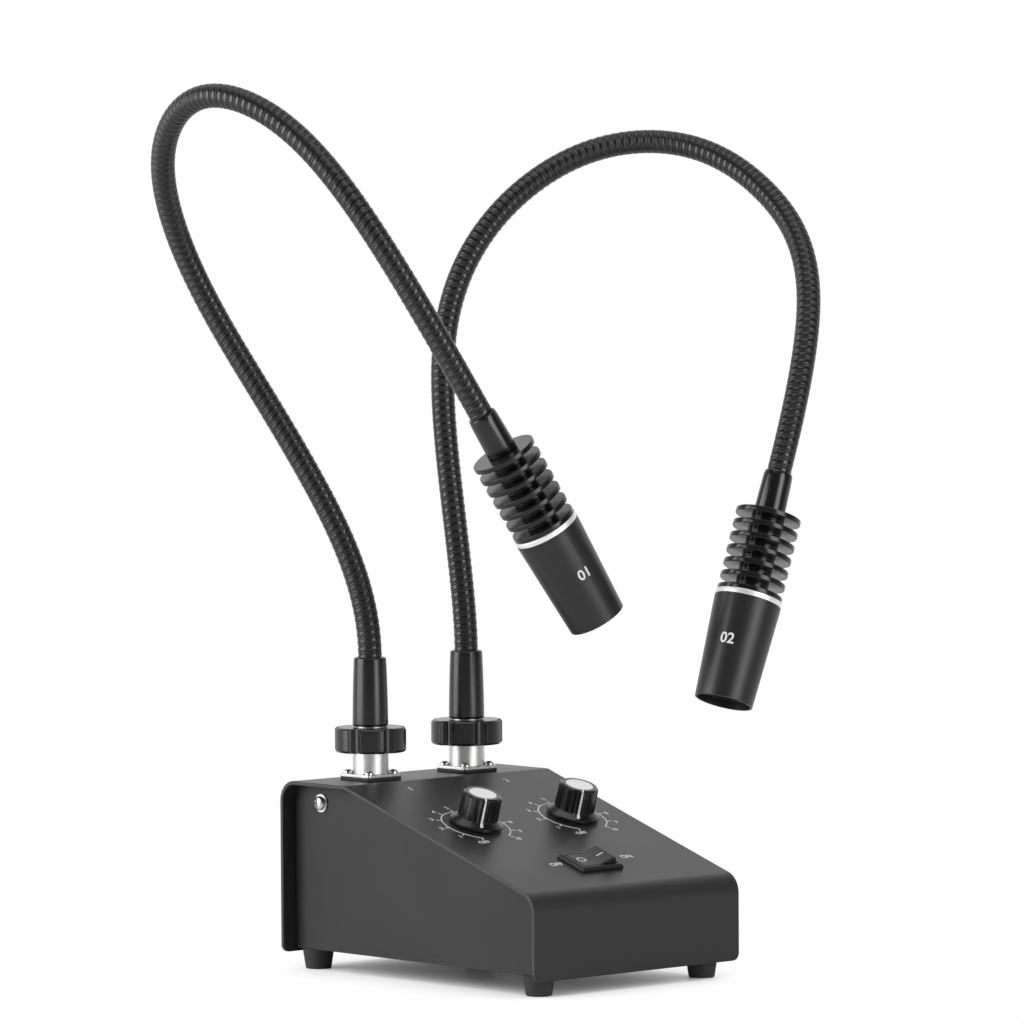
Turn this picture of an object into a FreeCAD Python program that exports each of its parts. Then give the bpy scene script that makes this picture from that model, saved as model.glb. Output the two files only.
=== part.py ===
"""Bench illuminator with two gooseneck lamps on a sheet-metal control box.

Millimetres, +Z up. The origin is on the bench, under the middle of the box.
The front slope of the box faces -Y, and the left neck stands at -X.
"""
import FreeCAD, Part
import math
import os
import re

import Sketcher
from FreeCAD import Placement, Rotation, Vector

os.makedirs("parts", exist_ok=True)
doc = FreeCAD.newDocument("bench_illuminator")

# Driving dimensions, in millimetres unless the note says otherwise

SIZES = (
    # Box
    ("cover_width", 106.0, "side to side over the bent cover"),
    ("case_depth", 146.0, "front wall to back wall"),
    ("rear_height", 67.0, "cover's lower edge to the flat top"),
    ("front_height", 31.8, "cover's lower edge to where front wall and slope would meet"),
    ("top_depth", 38.0, "flat top, front to back"),
    ("cover_lift", 6.3, "bench to the cover's lower edge"),
    ("chassis_lift", 7.8, "bench to the underside of the chassis"),
    ("sheet_wall", 1.5, "sheet of cover and chassis"),
    ("bend_radius", 8.0, "outside of the bends at the back and the front"),
    ("crease_radius", 3.0, "outside of the bend between top and slope"),
    ("corner_radius", 3.0, "lower corners of front and back wall"),
    ("cover_gap", 0.3, "cover to the edges of the chassis"),
    ("side_recess", 6.2, "cover's side edge to the chassis side"),
    ("overrun", 2.0, "reach of a cutter past what it cuts"),
    ("hole_gap", 0.1, "radial gap of what passes a panel"),
    # Screws at the sides, with the tabs that they enter
    ("side_screw_back", 17.6, "back wall to the side screws"),
    ("side_screw_height", 65.0, "bench to the side screws"),
    ("tab_width", 12.0, "tab that hangs from the flat top"),
    ("tab_drop", 14.0, "tab below the flat top"),
    ("tab_gap", 0.2, "tab to the chassis side"),
    ("screw_shank", 2.9, "diameter of every machine screw"),
    ("screw_head", 5.6, "diameter of a pan head"),
    ("screw_head_height", 2.1, "pan head"),
    ("screw_head_edge", 0.9, "straight edge of a pan head"),
    ("washer_width", 7.0, "diameter of the washer under a side screw"),
    ("washer_thick", 0.6, "washer under a side screw"),
    ("screw_end", 2.0, "screw past the sheet that it enters"),
    ("thread_gap", 0.03, "radial gap in a tapped hole"),
    # Feet
    ("foot_top", 12.3, "diameter of a foot at the chassis"),
    ("foot_base", 9.9, "diameter of a foot on the bench"),
    ("foot_side_inset", 10.9, "cover's side edge to a foot's middle"),
    ("foot_end_inset", 9.5, "front or back wall to a foot's middle"),
    ("foot_recess", 6.4, "diameter of the recess for the screw"),
    ("foot_recess_depth", 4.0, "recess for the screw"),
    # Power switch
    ("bezel_length", 21.0, "switch bezel across the box"),
    ("bezel_width", 15.0, "switch bezel up the slope"),
    ("bezel_height", 2.0, "switch bezel above the slope"),
    ("bezel_bevel", 0.8, "outer edge of the bezel"),
    ("bezel_rim", 1.6, "bezel around its opening"),
    ("switch_lip", 1.0, "bezel past the cut-out"),
    ("switch_depth", 13.0, "switch below the slope"),
    ("switch_floor", 1.5, "closed bottom of the switch"),
    ("switch_side", -2.5, "box's middle to the switch's middle"),
    ("switch_up", 24.9, "foot of the slope to the switch"),
    ("rocker_gap", 0.25, "rocker to the bezel's opening"),
    ("rocker_pivot", 0.8, "slope to the rocker's pivot, inwards"),
    ("rocker_valley", 2.1, "slope to the rocker's middle crease"),
    ("rocker_throw", 20.0, "degrees between off and on"),
    ("rocker_dish", 10.0, "degrees from the bezel to each half of a level rocker"),
    # Dimmers
    ("knob_left_side", -24.0, "box's middle to the left knob"),
    ("knob_right_side", 26.1, "box's middle to the right knob"),
    ("knob_up", 68.0, "foot of the slope to both knobs"),
    ("knob_float", 1.0, "slope to the underside of a knob"),
    ("knob_skirt", 20.5, "diameter of a knob's skirt"),
    ("skirt_edge", 0.9, "straight edge of the skirt"),
    ("skirt_rise", 2.6, "underside of the skirt to its top"),
    ("knob_width", 15.8, "diameter of the grip"),
    ("knob_taper", 0.5, "grip's loss of diameter up to its top"),
    ("knob_height", 13.2, "slope to the top of a knob"),
    ("knob_bevel", 0.8, "top edge of a knob"),
    ("knob_rest_turn", 60.0, "degrees from a knob's first flute to the right, at rest"),
    ("knob_flute", 3.4, "diameter of the cutter of a flute"),
    ("knob_flute_depth", 0.7, "flute in the grip"),
    ("knob_flute_count", 9, "count of flutes"),
    ("cap_width", 10.8, "diameter of the metal disc in a knob"),
    ("cap_depth", 0.6, "metal disc in a knob"),
    ("nut_room", 6.6, "radius of the hollow over the nut"),
    ("nut_room_height", 3.4, "hollow over the nut, from the slope"),
    ("pot_width", 16.0, "diameter of a dimmer"),
    ("pot_depth", 9.0, "dimmer behind the panel"),
    ("pot_bush", 6.9, "diameter of the threaded bush"),
    ("pot_bush_reach", 3.0, "bush beyond the slope"),
    ("pot_nut_width", 10.0, "across the flats of the nut"),
    ("pot_nut_height", 2.0, "nut on the bush"),
    ("shaft_width", 6.0, "diameter of a dimmer's shaft"),
    ("shaft_gap", 0.05, "radial running gap of the shaft"),
    ("shaft_end", 2.0, "top of the shaft to the knob's top"),
    ("shaft_floor", 1.5, "closed back of a dimmer"),
    # Power inlet at the back
    ("inlet_side", 25.0, "box's middle to the inlet"),
    ("inlet_height", 27.0, "bench to the inlet"),
    ("inlet_flange", 11.0, "diameter of the inlet's flange"),
    ("inlet_flange_thick", 1.6, "inlet's flange"),
    ("inlet_body", 7.8, "diameter of the inlet's thread"),
    ("inlet_depth", 11.0, "inlet inside the box"),
    ("inlet_bore", 5.6, "diameter of the inlet's mouth"),
    ("inlet_bore_depth", 9.0, "mouth from the wall's face"),
    ("inlet_pin", 2.1, "diameter of the inlet's pin"),
    ("inlet_nut_width", 11.0, "across the flats of the inlet's nut"),
    ("inlet_nut_thick", 2.0, "inlet's nut"),
    # Driver board
    ("board_length", 92.0, "board, front to back"),
    ("board_width", 70.0, "board, side to side"),
    ("board_thick", 1.6, "board"),
    ("post_height", 6.0, "chassis floor to the board"),
    ("post_width", 6.0, "across the corners of a post"),
    ("post_inset", 5.0, "board's edges to a post"),
    ("choke_size", 18.0, "side of a wound choke"),
    ("choke_height", 12.0, "choke above the board"),
    ("can_width", 10.0, "diameter of a capacitor"),
    ("can_height", 14.0, "capacitor above the board"),
    # Sockets and their plugs
    ("socket_left_side", -27.6, "box's middle to the left socket"),
    ("socket_right_side", 22.3, "box's middle to the right socket"),
    ("socket_back", 24.5, "back wall to both sockets"),
    ("flange_size", 17.3, "side of a socket's square flange"),
    ("flange_thick", 1.2, "socket's flange"),
    ("flange_corner", 1.2, "corner radius of the flange"),
    ("gasket_thick", 1.3, "gasket under the flange"),
    ("barrel_width", 13.8, "diameter of a socket's barrel"),
    ("barrel_show", 8.4, "barrel between flange and nut"),
    ("barrel_hidden", 4.0, "barrel inside the nut"),
    ("barrel_bore", 9.2, "diameter of the socket's bore"),
    ("socket_tail", 11.6, "diameter of the socket below the flange"),
    ("socket_tail_depth", 9.0, "socket below the flat top"),
    ("socket_floor", 2.0, "closed end of the socket"),
    ("plug_nose", 9.0, "diameter of the plug in the socket"),
    ("plug_nose_reach", 8.0, "plug in the socket"),
    ("plug_shoulder", 13.0, "diameter of the shoulder that the nut pulls on"),
    ("plug_shoulder_thick", 2.0, "shoulder that the nut pulls on"),
    ("plug_stem", 12.0, "diameter of the plug through the nut"),
    ("nut_width", 28.0, "diameter of a coupling nut over its lobes"),
    ("nut_height", 9.6, "coupling nut"),
    ("nut_bevel", 0.8, "edges of a coupling nut"),
    ("nut_bore", 14.4, "diameter of the nut's bore"),
    ("nut_web", 3.3, "inner flange of the nut"),
    ("nut_lobe_count", 6, "count of lobes"),
    ("nut_notch", 5.4, "diameter of the cutter between lobes"),
    ("nut_notch_depth", 2.0, "notch between lobes"),
    ("nut_play", 0.3, "nut to the ferrule above it"),
    ("nut_turn_left", 21.0, "degrees from the left nut's first notch to the right"),
    ("nut_turn_right", 12.0, "degrees from the right nut's first notch to the right"),
    ("ferrule_foot", 13.9, "diameter of a ferrule at the nut"),
    ("ferrule_top", 12.5, "diameter of a ferrule at the neck"),
    ("ferrule_length", 26.8, "ferrule"),
    # Necks
    ("neck_width", 9.3, "diameter over a neck's ribs"),
    ("neck_root", 7.9, "diameter between a neck's ribs"),
    ("neck_bore", 4.8, "diameter of the way for the leads"),
    ("neck_length", 442.0, "ferrule to head, along a neck"),
    ("neck_slit", 0.9, "slit where two stretches of a neck turn"),
    ("neck_span_count", 6, "count of stretches in a neck"),
    ("span_rib_count", 8, "count of ribs in a stretch"),
    # Lamp heads
    ("collar_nose", 1.2, "straight start of a head's collar"),
    ("collar_start", 10.2, "diameter of the collar at the neck"),
    ("collar_end", 12.0, "diameter of the collar at the fins"),
    ("collar_length", 17.0, "collar"),
    ("fin_width", 25.2, "diameter of a cooling fin"),
    ("fin_thick", 2.0, "cooling fin"),
    ("fin_pitch", 5.15, "fin to fin"),
    ("fin_count", 7, "count of fins"),
    ("fin_core", 12.8, "diameter between the fins"),
    ("ring_width", 25.8, "diameter of the bright ring"),
    ("ring_thick", 2.0, "bright ring"),
    ("ring_bore", 21.2, "inside of the bright ring"),
    ("head_length", 40.0, "barrel of a head"),
    ("mouth_width", 22.3, "diameter of a barrel at its mouth"),
    ("mouth_wall", 0.8, "rim of the mouth"),
    ("mouth_ledge", 0.45, "each inner ring of the mouth"),
    ("mouth_ledge_depth", 3.2, "inner ring to inner ring"),
    ("lens_depth", 9.6, "mouth to the lens"),
    ("lens_edge", 2.0, "edge of the lens"),
    ("lens_rise", 1.2, "middle of the lens above its edge"),
    ("lens_seat", 0.9, "shelf behind the lens"),
    ("lens_seat_thick", 1.4, "shelf behind the lens"),
    ("rear_bore", 20.4, "diameter of a barrel behind the shelf"),
    ("led_width", 19.6, "diameter of the board of the emitter"),
    ("led_thick", 1.6, "board of the emitter"),
    ("emitter_width", 7.0, "side of the emitter"),
    ("emitter_thick", 1.2, "emitter"),
)

# Routes of the necks: poles of a clamped cubic, from the top of the ferrule, as shares of a
# neck's length to the right, to the back and up, read off the photograph by hand

LEFT_ROUTE_SHARES = (
    (0.000, 0.000, 0.000), (0.000, 0.000, 0.059), (-0.034, 0.040, 0.166), (-0.074, 0.103, 0.278),
    (-0.109, 0.127, 0.360), (-0.164, 0.094, 0.445), (-0.184, 0.013, 0.505), (-0.164, -0.088, 0.475),
    (-0.139, -0.174, 0.377), (-0.076, -0.208, 0.250), (-0.059, -0.213, 0.221),
)
RIGHT_ROUTE_SHARES = (
    (0.000, 0.000, 0.000), (0.000, 0.000, 0.043), (-0.003, 0.026, 0.184), (0.018, 0.053, 0.296),
    (0.062, 0.039, 0.384), (0.137, -0.006, 0.447), (0.190, -0.090, 0.453), (0.200, -0.181, 0.410),
    (0.184, -0.273, 0.329), (0.101, -0.304, 0.191), (0.091, -0.305, 0.165),
)
# Half of a rib's crest, as a share of the rib pitch
RIB_REACH_SHARE = 0.38
# Where parts stand on the driver board, as shares of its width and length
CHOKE_SHARES = ((0.27, 0.30), (0.73, 0.30))
CAN_SHARES = ((0.25, 0.62), (0.50, 0.62), (0.75, 0.62))
# A neck is a prism of this many sides
NECK_SIDES = 12
# Lengths under this count as none
NOTHING = 1e-6

sheet = doc.addObject("Spreadsheet::Sheet", "Sizes")
for row, (alias, number, note) in enumerate(SIZES, 1):
    sheet.set(f"A{row}", alias)
    sheet.set(f"B{row}", str(number))
    sheet.set(f"C{row}", note)
    sheet.setAlias(f"B{row}", alias)
doc.recompute()

FUNCTIONS = ("sin", "cos", "tan", "atan")
SLOPE = "atan((rear_height - front_height) / (case_depth - top_depth))"
X_AXIS, Y_AXIS, Z_AXIS = Vector(1, 0, 0), Vector(0, 1, 0), Vector(0, 0, 1)
SIDES = ("left", "right")
nodes = []


def bound(text):
    """Point each name in a formula at its cell in the sheet."""
    def cell(word):
        return word.group() if word.group() in FUNCTIONS else "Sizes." + word.group()
    return re.sub(r"[a-z][a-z_]*", cell, text)


def value(text):
    """Work out a formula over the sheet."""
    return float(sheet.evalExpression(bound(text)))


def tie(thing, **formulas):
    """Bind properties of an object to formulas over the sheet."""
    for name, text in formulas.items():
        thing.setExpression(name, bound(text))
    return thing


def keep(thing, label, place=None):
    """Label a finished sub-part, place it and list it for export."""
    thing.Label = label
    if place is not None:
        thing.Placement = place
    nodes.append(thing)
    return thing


# Places

def slope_place(side, up, out):
    """Frame on the slope: X to the right, Y up the slope and Z out of it."""
    tilt = Rotation(X_AXIS, value(SLOPE))
    foot = Vector(value(side), value("-case_depth / 2"), value("cover_lift + front_height"))
    return Placement(foot + tilt.multVec(Vector(0, value(up), value(out))), tilt)


def top_place(side):
    """Frame on the flat top, over a socket."""
    return Placement(Vector(value(f"socket_{side}_side"), value("case_depth / 2 - socket_back"),
                            value("cover_lift + rear_height")), Rotation())


# Features

def origin_plane(body, role):
    return next(plane for plane in body.Origin.OriginFeatures if plane.Role == role)


def new_sketch(body, role, lift=None):
    """Sketch on one of the body's own planes, lifted along its normal."""
    sketch = body.newObject("Sketcher::SketchObject", "Sketch")
    sketch.AttachmentSupport = [(origin_plane(body, role), "")]
    sketch.MapMode = "FlatFace"
    if lift:
        sketch.setExpression("AttachmentOffset.Base.z", bound(lift))
    return sketch


def draw_outline(sketch, corners):
    """Closed outline of straight lines, each corner held by two formulas."""
    points = [Vector(value(across), value(along), 0) for across, along in corners]
    for number, point in enumerate(points):
        sketch.addGeometry(Part.LineSegment(point, points[(number + 1) % len(points)]))
    for number in range(len(points)):
        sketch.addConstraint(Sketcher.Constraint("Coincident", number, 2, (number + 1) % len(points), 1))
    for number, (corner, point) in enumerate(zip(corners, points)):
        for kind, formula, length, axis in (("DistanceX", corner[0], point.x, -2),
                                            ("DistanceY", corner[1], point.y, -1)):
            if formula == "0":
                sketch.addConstraint(Sketcher.Constraint("PointOnObject", number, 1, axis))
            else:
                index = sketch.addConstraint(Sketcher.Constraint(kind, -1, 1, number, 1, length))
                sketch.setExpression(f"Constraints[{index}]", bound(formula))


def draw_circle(sketch, out, diameter):
    """Circle centred on the sketch's X axis, a given distance out."""
    circle = sketch.addGeometry(Part.Circle(Vector(value(out), 0, 0), Z_AXIS, value(diameter) / 2))
    index = sketch.addConstraint(Sketcher.Constraint("Diameter", circle, value(diameter)))
    sketch.setExpression(f"Constraints[{index}]", bound(diameter))
    sketch.addConstraint(Sketcher.Constraint("PointOnObject", circle, 3, -1))
    if out == "0":
        sketch.addConstraint(Sketcher.Constraint("PointOnObject", circle, 3, -2))
    else:
        index = sketch.addConstraint(Sketcher.Constraint("DistanceX", -1, 1, circle, 3, value(out)))
        sketch.setExpression(f"Constraints[{index}]", bound(out))


def turned(name, corners):
    """Body turned about its own Z axis from a half section of (radius, height)."""
    body = doc.addObject("PartDesign::Body", name)
    sketch = new_sketch(body, "XZ_Plane")
    draw_outline(sketch, corners)
    turn = body.newObject("PartDesign::Revolution", "Turn")
    turn.Profile = sketch
    turn.ReferenceAxis = (sketch, ["V_Axis"])
    turn.Angle = 360
    doc.recompute()
    return body


def notched(body, count, out, diameter, top, depth):
    """Cut a ring of round flutes down from a body's top."""
    sketch = new_sketch(body, "XY_Plane", top)
    draw_circle(sketch, out, diameter)
    doc.recompute()
    flute = body.newObject("PartDesign::Pocket", "Flute")
    flute.Profile = sketch
    tie(flute, Length=depth)
    doc.recompute()
    before = body.Shape.Volume
    ring = body.newObject("PartDesign::PolarPattern", "Flutes")
    ring.Originals = [flute]
    ring.Axis = (sketch, ["N_Axis"])
    ring.Angle = 360
    tie(ring, Occurrences=count)
    body.Tip = ring
    doc.recompute()
    if ring.Shape.Volume >= before:
        raise ValueError(f"{body.Name}: the flutes cut nothing")
    return body


def cylinder(name, radius, height, place=Placement()):
    rod = tie(doc.addObject("Part::Cylinder", name), Radius=radius, Height=height)
    rod.Placement = place
    return rod


def block(name, length, width, height, place=Placement()):
    """Box that is centred across its own X and Y and stands on Z = 0."""
    box = tie(doc.addObject("Part::Box", name), Length=length, Width=width, Height=height)
    middle = Placement(Vector(-value(length) / 2, -value(width) / 2, 0), Rotation())
    box.Placement = place.multiply(middle)
    return box


def hexagon(name, across_flats, height, place=Placement()):
    prism = tie(doc.addObject("Part::Prism", name), Circumradius=f"({across_flats}) / 2 / cos(30)",
                Height=height)
    prism.Polygon = 6
    prism.Placement = place
    return prism


def joined(name, pieces):
    fuse = doc.addObject("Part::MultiFuse", name)
    fuse.Shapes = pieces
    return fuse


def cut(name, base, tools):
    """Take tools away from a base, and check that they reached it."""
    cutter = tools[0] if len(tools) == 1 else joined(name + "_tools", tools)
    result = doc.addObject("Part::Cut", name)
    result.Base = base
    result.Tool = cutter
    doc.recompute()
    if result.Shape.Volume >= base.Shape.Volume:
        raise ValueError(f"{name}: the tools cut nothing")
    return result


def lifted(place, height):
    """A place moved along its own Z by a formula."""
    return place.multiply(Placement(Vector(0, 0, value(height)), Rotation()))


# Box

def case_outline(inset, floor):
    """Side view of the box, drawn in by an inset: front, slope, flat top and back."""
    slope_start = f"cover_lift + front_height + ({inset}) * (tan({SLOPE}) - 1 / cos({SLOPE}))"
    top = f"cover_lift + rear_height - ({inset})"
    return (
        (f"-(case_depth / 2 - ({inset}))", floor),
        (f"case_depth / 2 - ({inset})", floor),
        (f"case_depth / 2 - ({inset})", top),
        (f"case_depth / 2 - top_depth + ({inset}) * (1 / cos({SLOPE}) - 1) / tan({SLOPE})", top),
        (f"-(case_depth / 2 - ({inset}))", slope_start),
    )


def runs_across(edge):
    """True for a straight edge from side to side."""
    ends = [corner.Point for corner in edge.Vertexes]
    return len(ends) == 2 and (ends[1] - ends[0]).cross(X_AXIS).Length < NOTHING


def case_body(name, inset, floor, width, bends):
    """Solid of the box's side view with its bends rounded."""
    body = doc.addObject("PartDesign::Body", name)
    sketch = new_sketch(body, "YZ_Plane")
    draw_outline(sketch, case_outline(inset, floor))
    pad = body.newObject("PartDesign::Pad", "Block")
    pad.Profile = sketch
    pad.Midplane = True
    tie(pad, Length=width)
    doc.recompute()
    last = pad
    crease = value("case_depth / 2 - top_depth")
    for title, radius, pick in bends:
        rows = [f"Edge{number}" for number, edge in enumerate(last.Shape.Edges, 1)
                if runs_across(edge) and edge.BoundBox.ZMin > value(floor) + value("sheet_wall")
                and (abs(edge.BoundBox.YMin - crease) < value("bend_radius")) == pick]
        bend = body.newObject("PartDesign::Fillet", title)
        bend.Base = (last, rows)
        tie(bend, Radius=radius)
        doc.recompute()
        last = bend
    return body, last


def hollowed(body, last, open_faces):
    """Turn a solid body into bent sheet, open where the faces are left out."""
    wall = body.newObject("PartDesign::Thickness", "Wall")
    wall.Base = (last, [f"Face{number}" for number, face in enumerate(last.Shape.Faces, 1)
                        if open_faces(face.BoundBox)])
    wall.Reversed = True
    tie(wall, Value="sheet_wall")
    doc.recompute()
    return wall


def side_turn(side):
    """Rotation that points Z out of one side of the box."""
    return Rotation(Y_AXIS, 90 if side == "right" else -90)


def side_screw_place(side, out):
    """Frame of a side screw, Z outwards, a given distance from the box's middle."""
    reach = value(out) if side == "right" else -value(out)
    return Placement(Vector(reach, value("case_depth / 2 - side_screw_back"), value("side_screw_height")),
                     side_turn(side))


def inlet_place():
    """Frame on the back wall, Z outwards."""
    return Placement(Vector(value("inlet_side"), value("case_depth / 2"), value("inlet_height")),
                     Rotation(X_AXIS, -90))


def foot_places():
    side = value("cover_width / 2 - foot_side_inset")
    end = value("case_depth / 2 - foot_end_inset")
    return [Vector(x, y, 0) for y in (-end, end) for x in (-side, side)]


def make_cover():
    """Bent cover: back wall, flat top, slope and front wall, with its openings."""
    body, last = case_body("cover_body", "0", "cover_lift", "cover_width",
                           (("Bends", "bend_radius", False), ("Crease", "crease_radius", True)))
    half, floor = value("cover_width / 2"), value("cover_lift")
    wall = hollowed(body, last, lambda box: box.XLength < NOTHING or box.ZMax < floor + NOTHING)
    corners = [f"Edge{number}" for number, edge in enumerate(wall.Shape.Edges, 1)
               if edge.BoundBox.ZMax < floor + NOTHING and edge.BoundBox.XLength < NOTHING
               and abs(abs(edge.BoundBox.XMin) - half) < NOTHING]
    rounding = body.newObject("PartDesign::Fillet", "Corners")
    rounding.Base = (wall, corners)
    tie(rounding, Radius="corner_radius")
    doc.recompute()
    tabs = [cover_tab(side) for side in SIDES]
    tools = []
    for side in SIDES:
        under = lifted(top_place(side), "-sheet_wall - overrun")
        tools.append(cylinder("socket_hole", "socket_tail / 2 + hole_gap", "sheet_wall + 2 * overrun", under))
        inner = slope_place(f"knob_{side}_side", "knob_up", "-sheet_wall - overrun")
        tools.append(cylinder("pot_hole", "pot_bush / 2 + hole_gap", "sheet_wall + 2 * overrun", inner))
        tools.append(cylinder("tab_hole", "screw_shank / 2 + thread_gap", "side_recess + sheet_wall",
                              side_screw_place(side, "cover_width / 2 - side_recess - side_recess")))
    window = slope_place("switch_side", "switch_up", "-sheet_wall - overrun")
    tools.append(block("switch_hole", "bezel_length - 2 * switch_lip + 2 * hole_gap",
                       "bezel_width - 2 * switch_lip + 2 * hole_gap", "sheet_wall + 2 * overrun", window))
    tools.append(cylinder("inlet_hole", "inlet_body / 2 + hole_gap", "sheet_wall + 2 * overrun",
                          lifted(inlet_place(), "-sheet_wall - overrun")))
    keep(cut("cover", joined("cover_with_tabs", [body] + tabs), tools), "cover")


def cover_tab(side):
    """Tab that hangs from the flat top beside the chassis and takes a side screw."""
    outer = value("cover_width / 2 - side_recess - sheet_wall - tab_gap")
    middle = outer - value("sheet_wall") / 2
    place = Vector(middle if side == "right" else -middle, value("case_depth / 2 - side_screw_back"),
                   value("cover_lift + rear_height - sheet_wall - tab_drop"))
    return block(f"tab_{side}", "sheet_wall", "tab_width", "tab_drop + sheet_wall / 2",
                 Placement(place, Rotation()))


def make_chassis():
    """Chassis: floor and two sides, cut to the inside of the cover."""
    inset = "sheet_wall + cover_gap"
    body, last = case_body("chassis_body", inset, "chassis_lift", "cover_width - 2 * side_recess",
                           (("Bends", "bend_radius - sheet_wall - cover_gap", False),
                            ("Crease", "crease_radius - sheet_wall - cover_gap", True)))
    floor = value("chassis_lift")
    hollowed(body, last, lambda box: box.XLength > NOTHING and box.ZMax > floor + NOTHING)
    tools = [cylinder("foot_hole", "screw_shank / 2 + thread_gap", "sheet_wall + 2 * overrun",
                      Placement(spot + Vector(0, 0, value("chassis_lift - overrun")), Rotation()))
             for spot in foot_places()]
    for side in SIDES:
        tools.append(cylinder("side_hole", "screw_shank / 2 + hole_gap", "sheet_wall + 2 * overrun",
                              side_screw_place(side, "cover_width / 2 - side_recess - sheet_wall - overrun")))
    keep(cut("chassis", body, tools), "chassis")


def make_side_screws():
    """Pan-head screws with washers, through the chassis sides into the cover's tabs."""
    for side in SIDES:
        screw = turned(f"side_screw_{side}", (
            ("0", "-(2 * sheet_wall + tab_gap + screw_end)"),
            ("screw_shank / 2", "-(2 * sheet_wall + tab_gap + screw_end)"),
            ("screw_shank / 2", "0"),
            ("washer_width / 2", "0"),
            ("washer_width / 2", "washer_thick"),
            ("screw_head / 2", "washer_thick"),
            ("screw_head / 2", "washer_thick + screw_head_edge"),
            ("screw_head / 4", "washer_thick + screw_head_height"),
            ("0", "washer_thick + screw_head_height"),
        ))
        keep(screw, f"side_screw_{side}", side_screw_place(side, "cover_width / 2 - side_recess"))


def make_feet():
    """Four tapered feet and their screws."""
    names = ("foot_front_left", "foot_front_right", "foot_rear_left", "foot_rear_right")
    screws = []
    for name, spot in zip(names, foot_places()):
        foot = turned(name, (
            ("foot_recess / 2", "0"),
            ("foot_base / 2", "0"),
            ("foot_top / 2", "chassis_lift"),
            ("screw_shank / 2 + hole_gap", "chassis_lift"),
            ("screw_shank / 2 + hole_gap", "foot_recess_depth"),
            ("foot_recess / 2", "foot_recess_depth"),
        ))
        keep(foot, name, Placement(spot, Rotation()))
        shank = cylinder("foot_screw_shank", "screw_shank / 2",
                         "chassis_lift - foot_recess_depth + sheet_wall + screw_end",
                         Placement(spot + Vector(0, 0, value("foot_recess_depth")), Rotation()))
        head = cylinder("foot_screw_head", "screw_head / 2", "screw_head_height",
                        Placement(spot + Vector(0, 0, value("foot_recess_depth - screw_head_height")),
                                  Rotation()))
        screws.append(joined("foot_screw", [shank, head]))
    bag = doc.addObject("Part::Compound", "foot_screws")
    bag.Links = screws
    keep(bag, "foot_screws")


# Power switch

def make_switch():
    """Snap-in housing with a raised bezel, and the rocker that lies in it."""
    seat = slope_place("switch_side", "switch_up", "0")
    bezel = block("bezel_block", "bezel_length", "bezel_width", "bezel_height", seat)
    doc.recompute()
    bevel = doc.addObject("Part::Chamfer", "bezel_bevelled")
    bevel.Base = bezel
    top = seat.inverse()
    rim = [number for number, edge in enumerate(bezel.Shape.Edges, 1)
           if all(top.multVec(corner.Point).z > value("bezel_height") / 2 for corner in edge.Vertexes)]
    bevel.Edges = [(number, value("bezel_bevel"), value("bezel_bevel")) for number in rim]
    shell = block("switch_shell", "bezel_length - 2 * switch_lip", "bezel_width - 2 * switch_lip",
                  "switch_depth", lifted(seat, "-switch_depth"))
    room = block("switch_room", "bezel_length - 2 * bezel_rim", "bezel_width - 2 * bezel_rim",
                 "switch_depth + bezel_height - switch_floor + overrun",
                 lifted(seat, "-switch_depth + switch_floor"))
    keep(cut("switch_housing", joined("switch_solid", [bevel, shell]), [room]), "switch_housing")

    pivot = lifted(seat, "-rocker_pivot")
    drum = cylinder("rocker_drum", "bezel_length / 2 - bezel_rim - rocker_gap",
                    "bezel_width - 2 * bezel_rim - 2 * rocker_gap",
                    Placement(Vector(0, value("bezel_width / 2 - bezel_rim - rocker_gap"), 0),
                              Rotation(X_AXIS, 90)))
    planes = []
    for tilt in (-1, 1):
        lean = Rotation(Y_AXIS, tilt * value("rocker_dish"))
        crease = Vector(0, 0, value("rocker_pivot + rocker_valley"))
        planes.append(block("rocker_top", "bezel_length", "bezel_width", "bezel_width",
                            Placement(crease, lean).multiply(
                                Placement(Vector(-tilt * value("bezel_length") / 2, 0, 0), Rotation()))))
    belly = block("rocker_belly", "2 * bezel_length", "bezel_width", "bezel_length",
                  Placement(Vector(0, 0, value("-bezel_length - rocker_pivot / 2")), Rotation()))
    rocker = cut("power_rocker", drum, planes + [belly])
    off = Placement(Vector(0, 0, 0), Rotation(Y_AXIS, value("-rocker_throw / 2")))
    keep(rocker, "power_rocker", pivot.multiply(off))


# Dimmers

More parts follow.
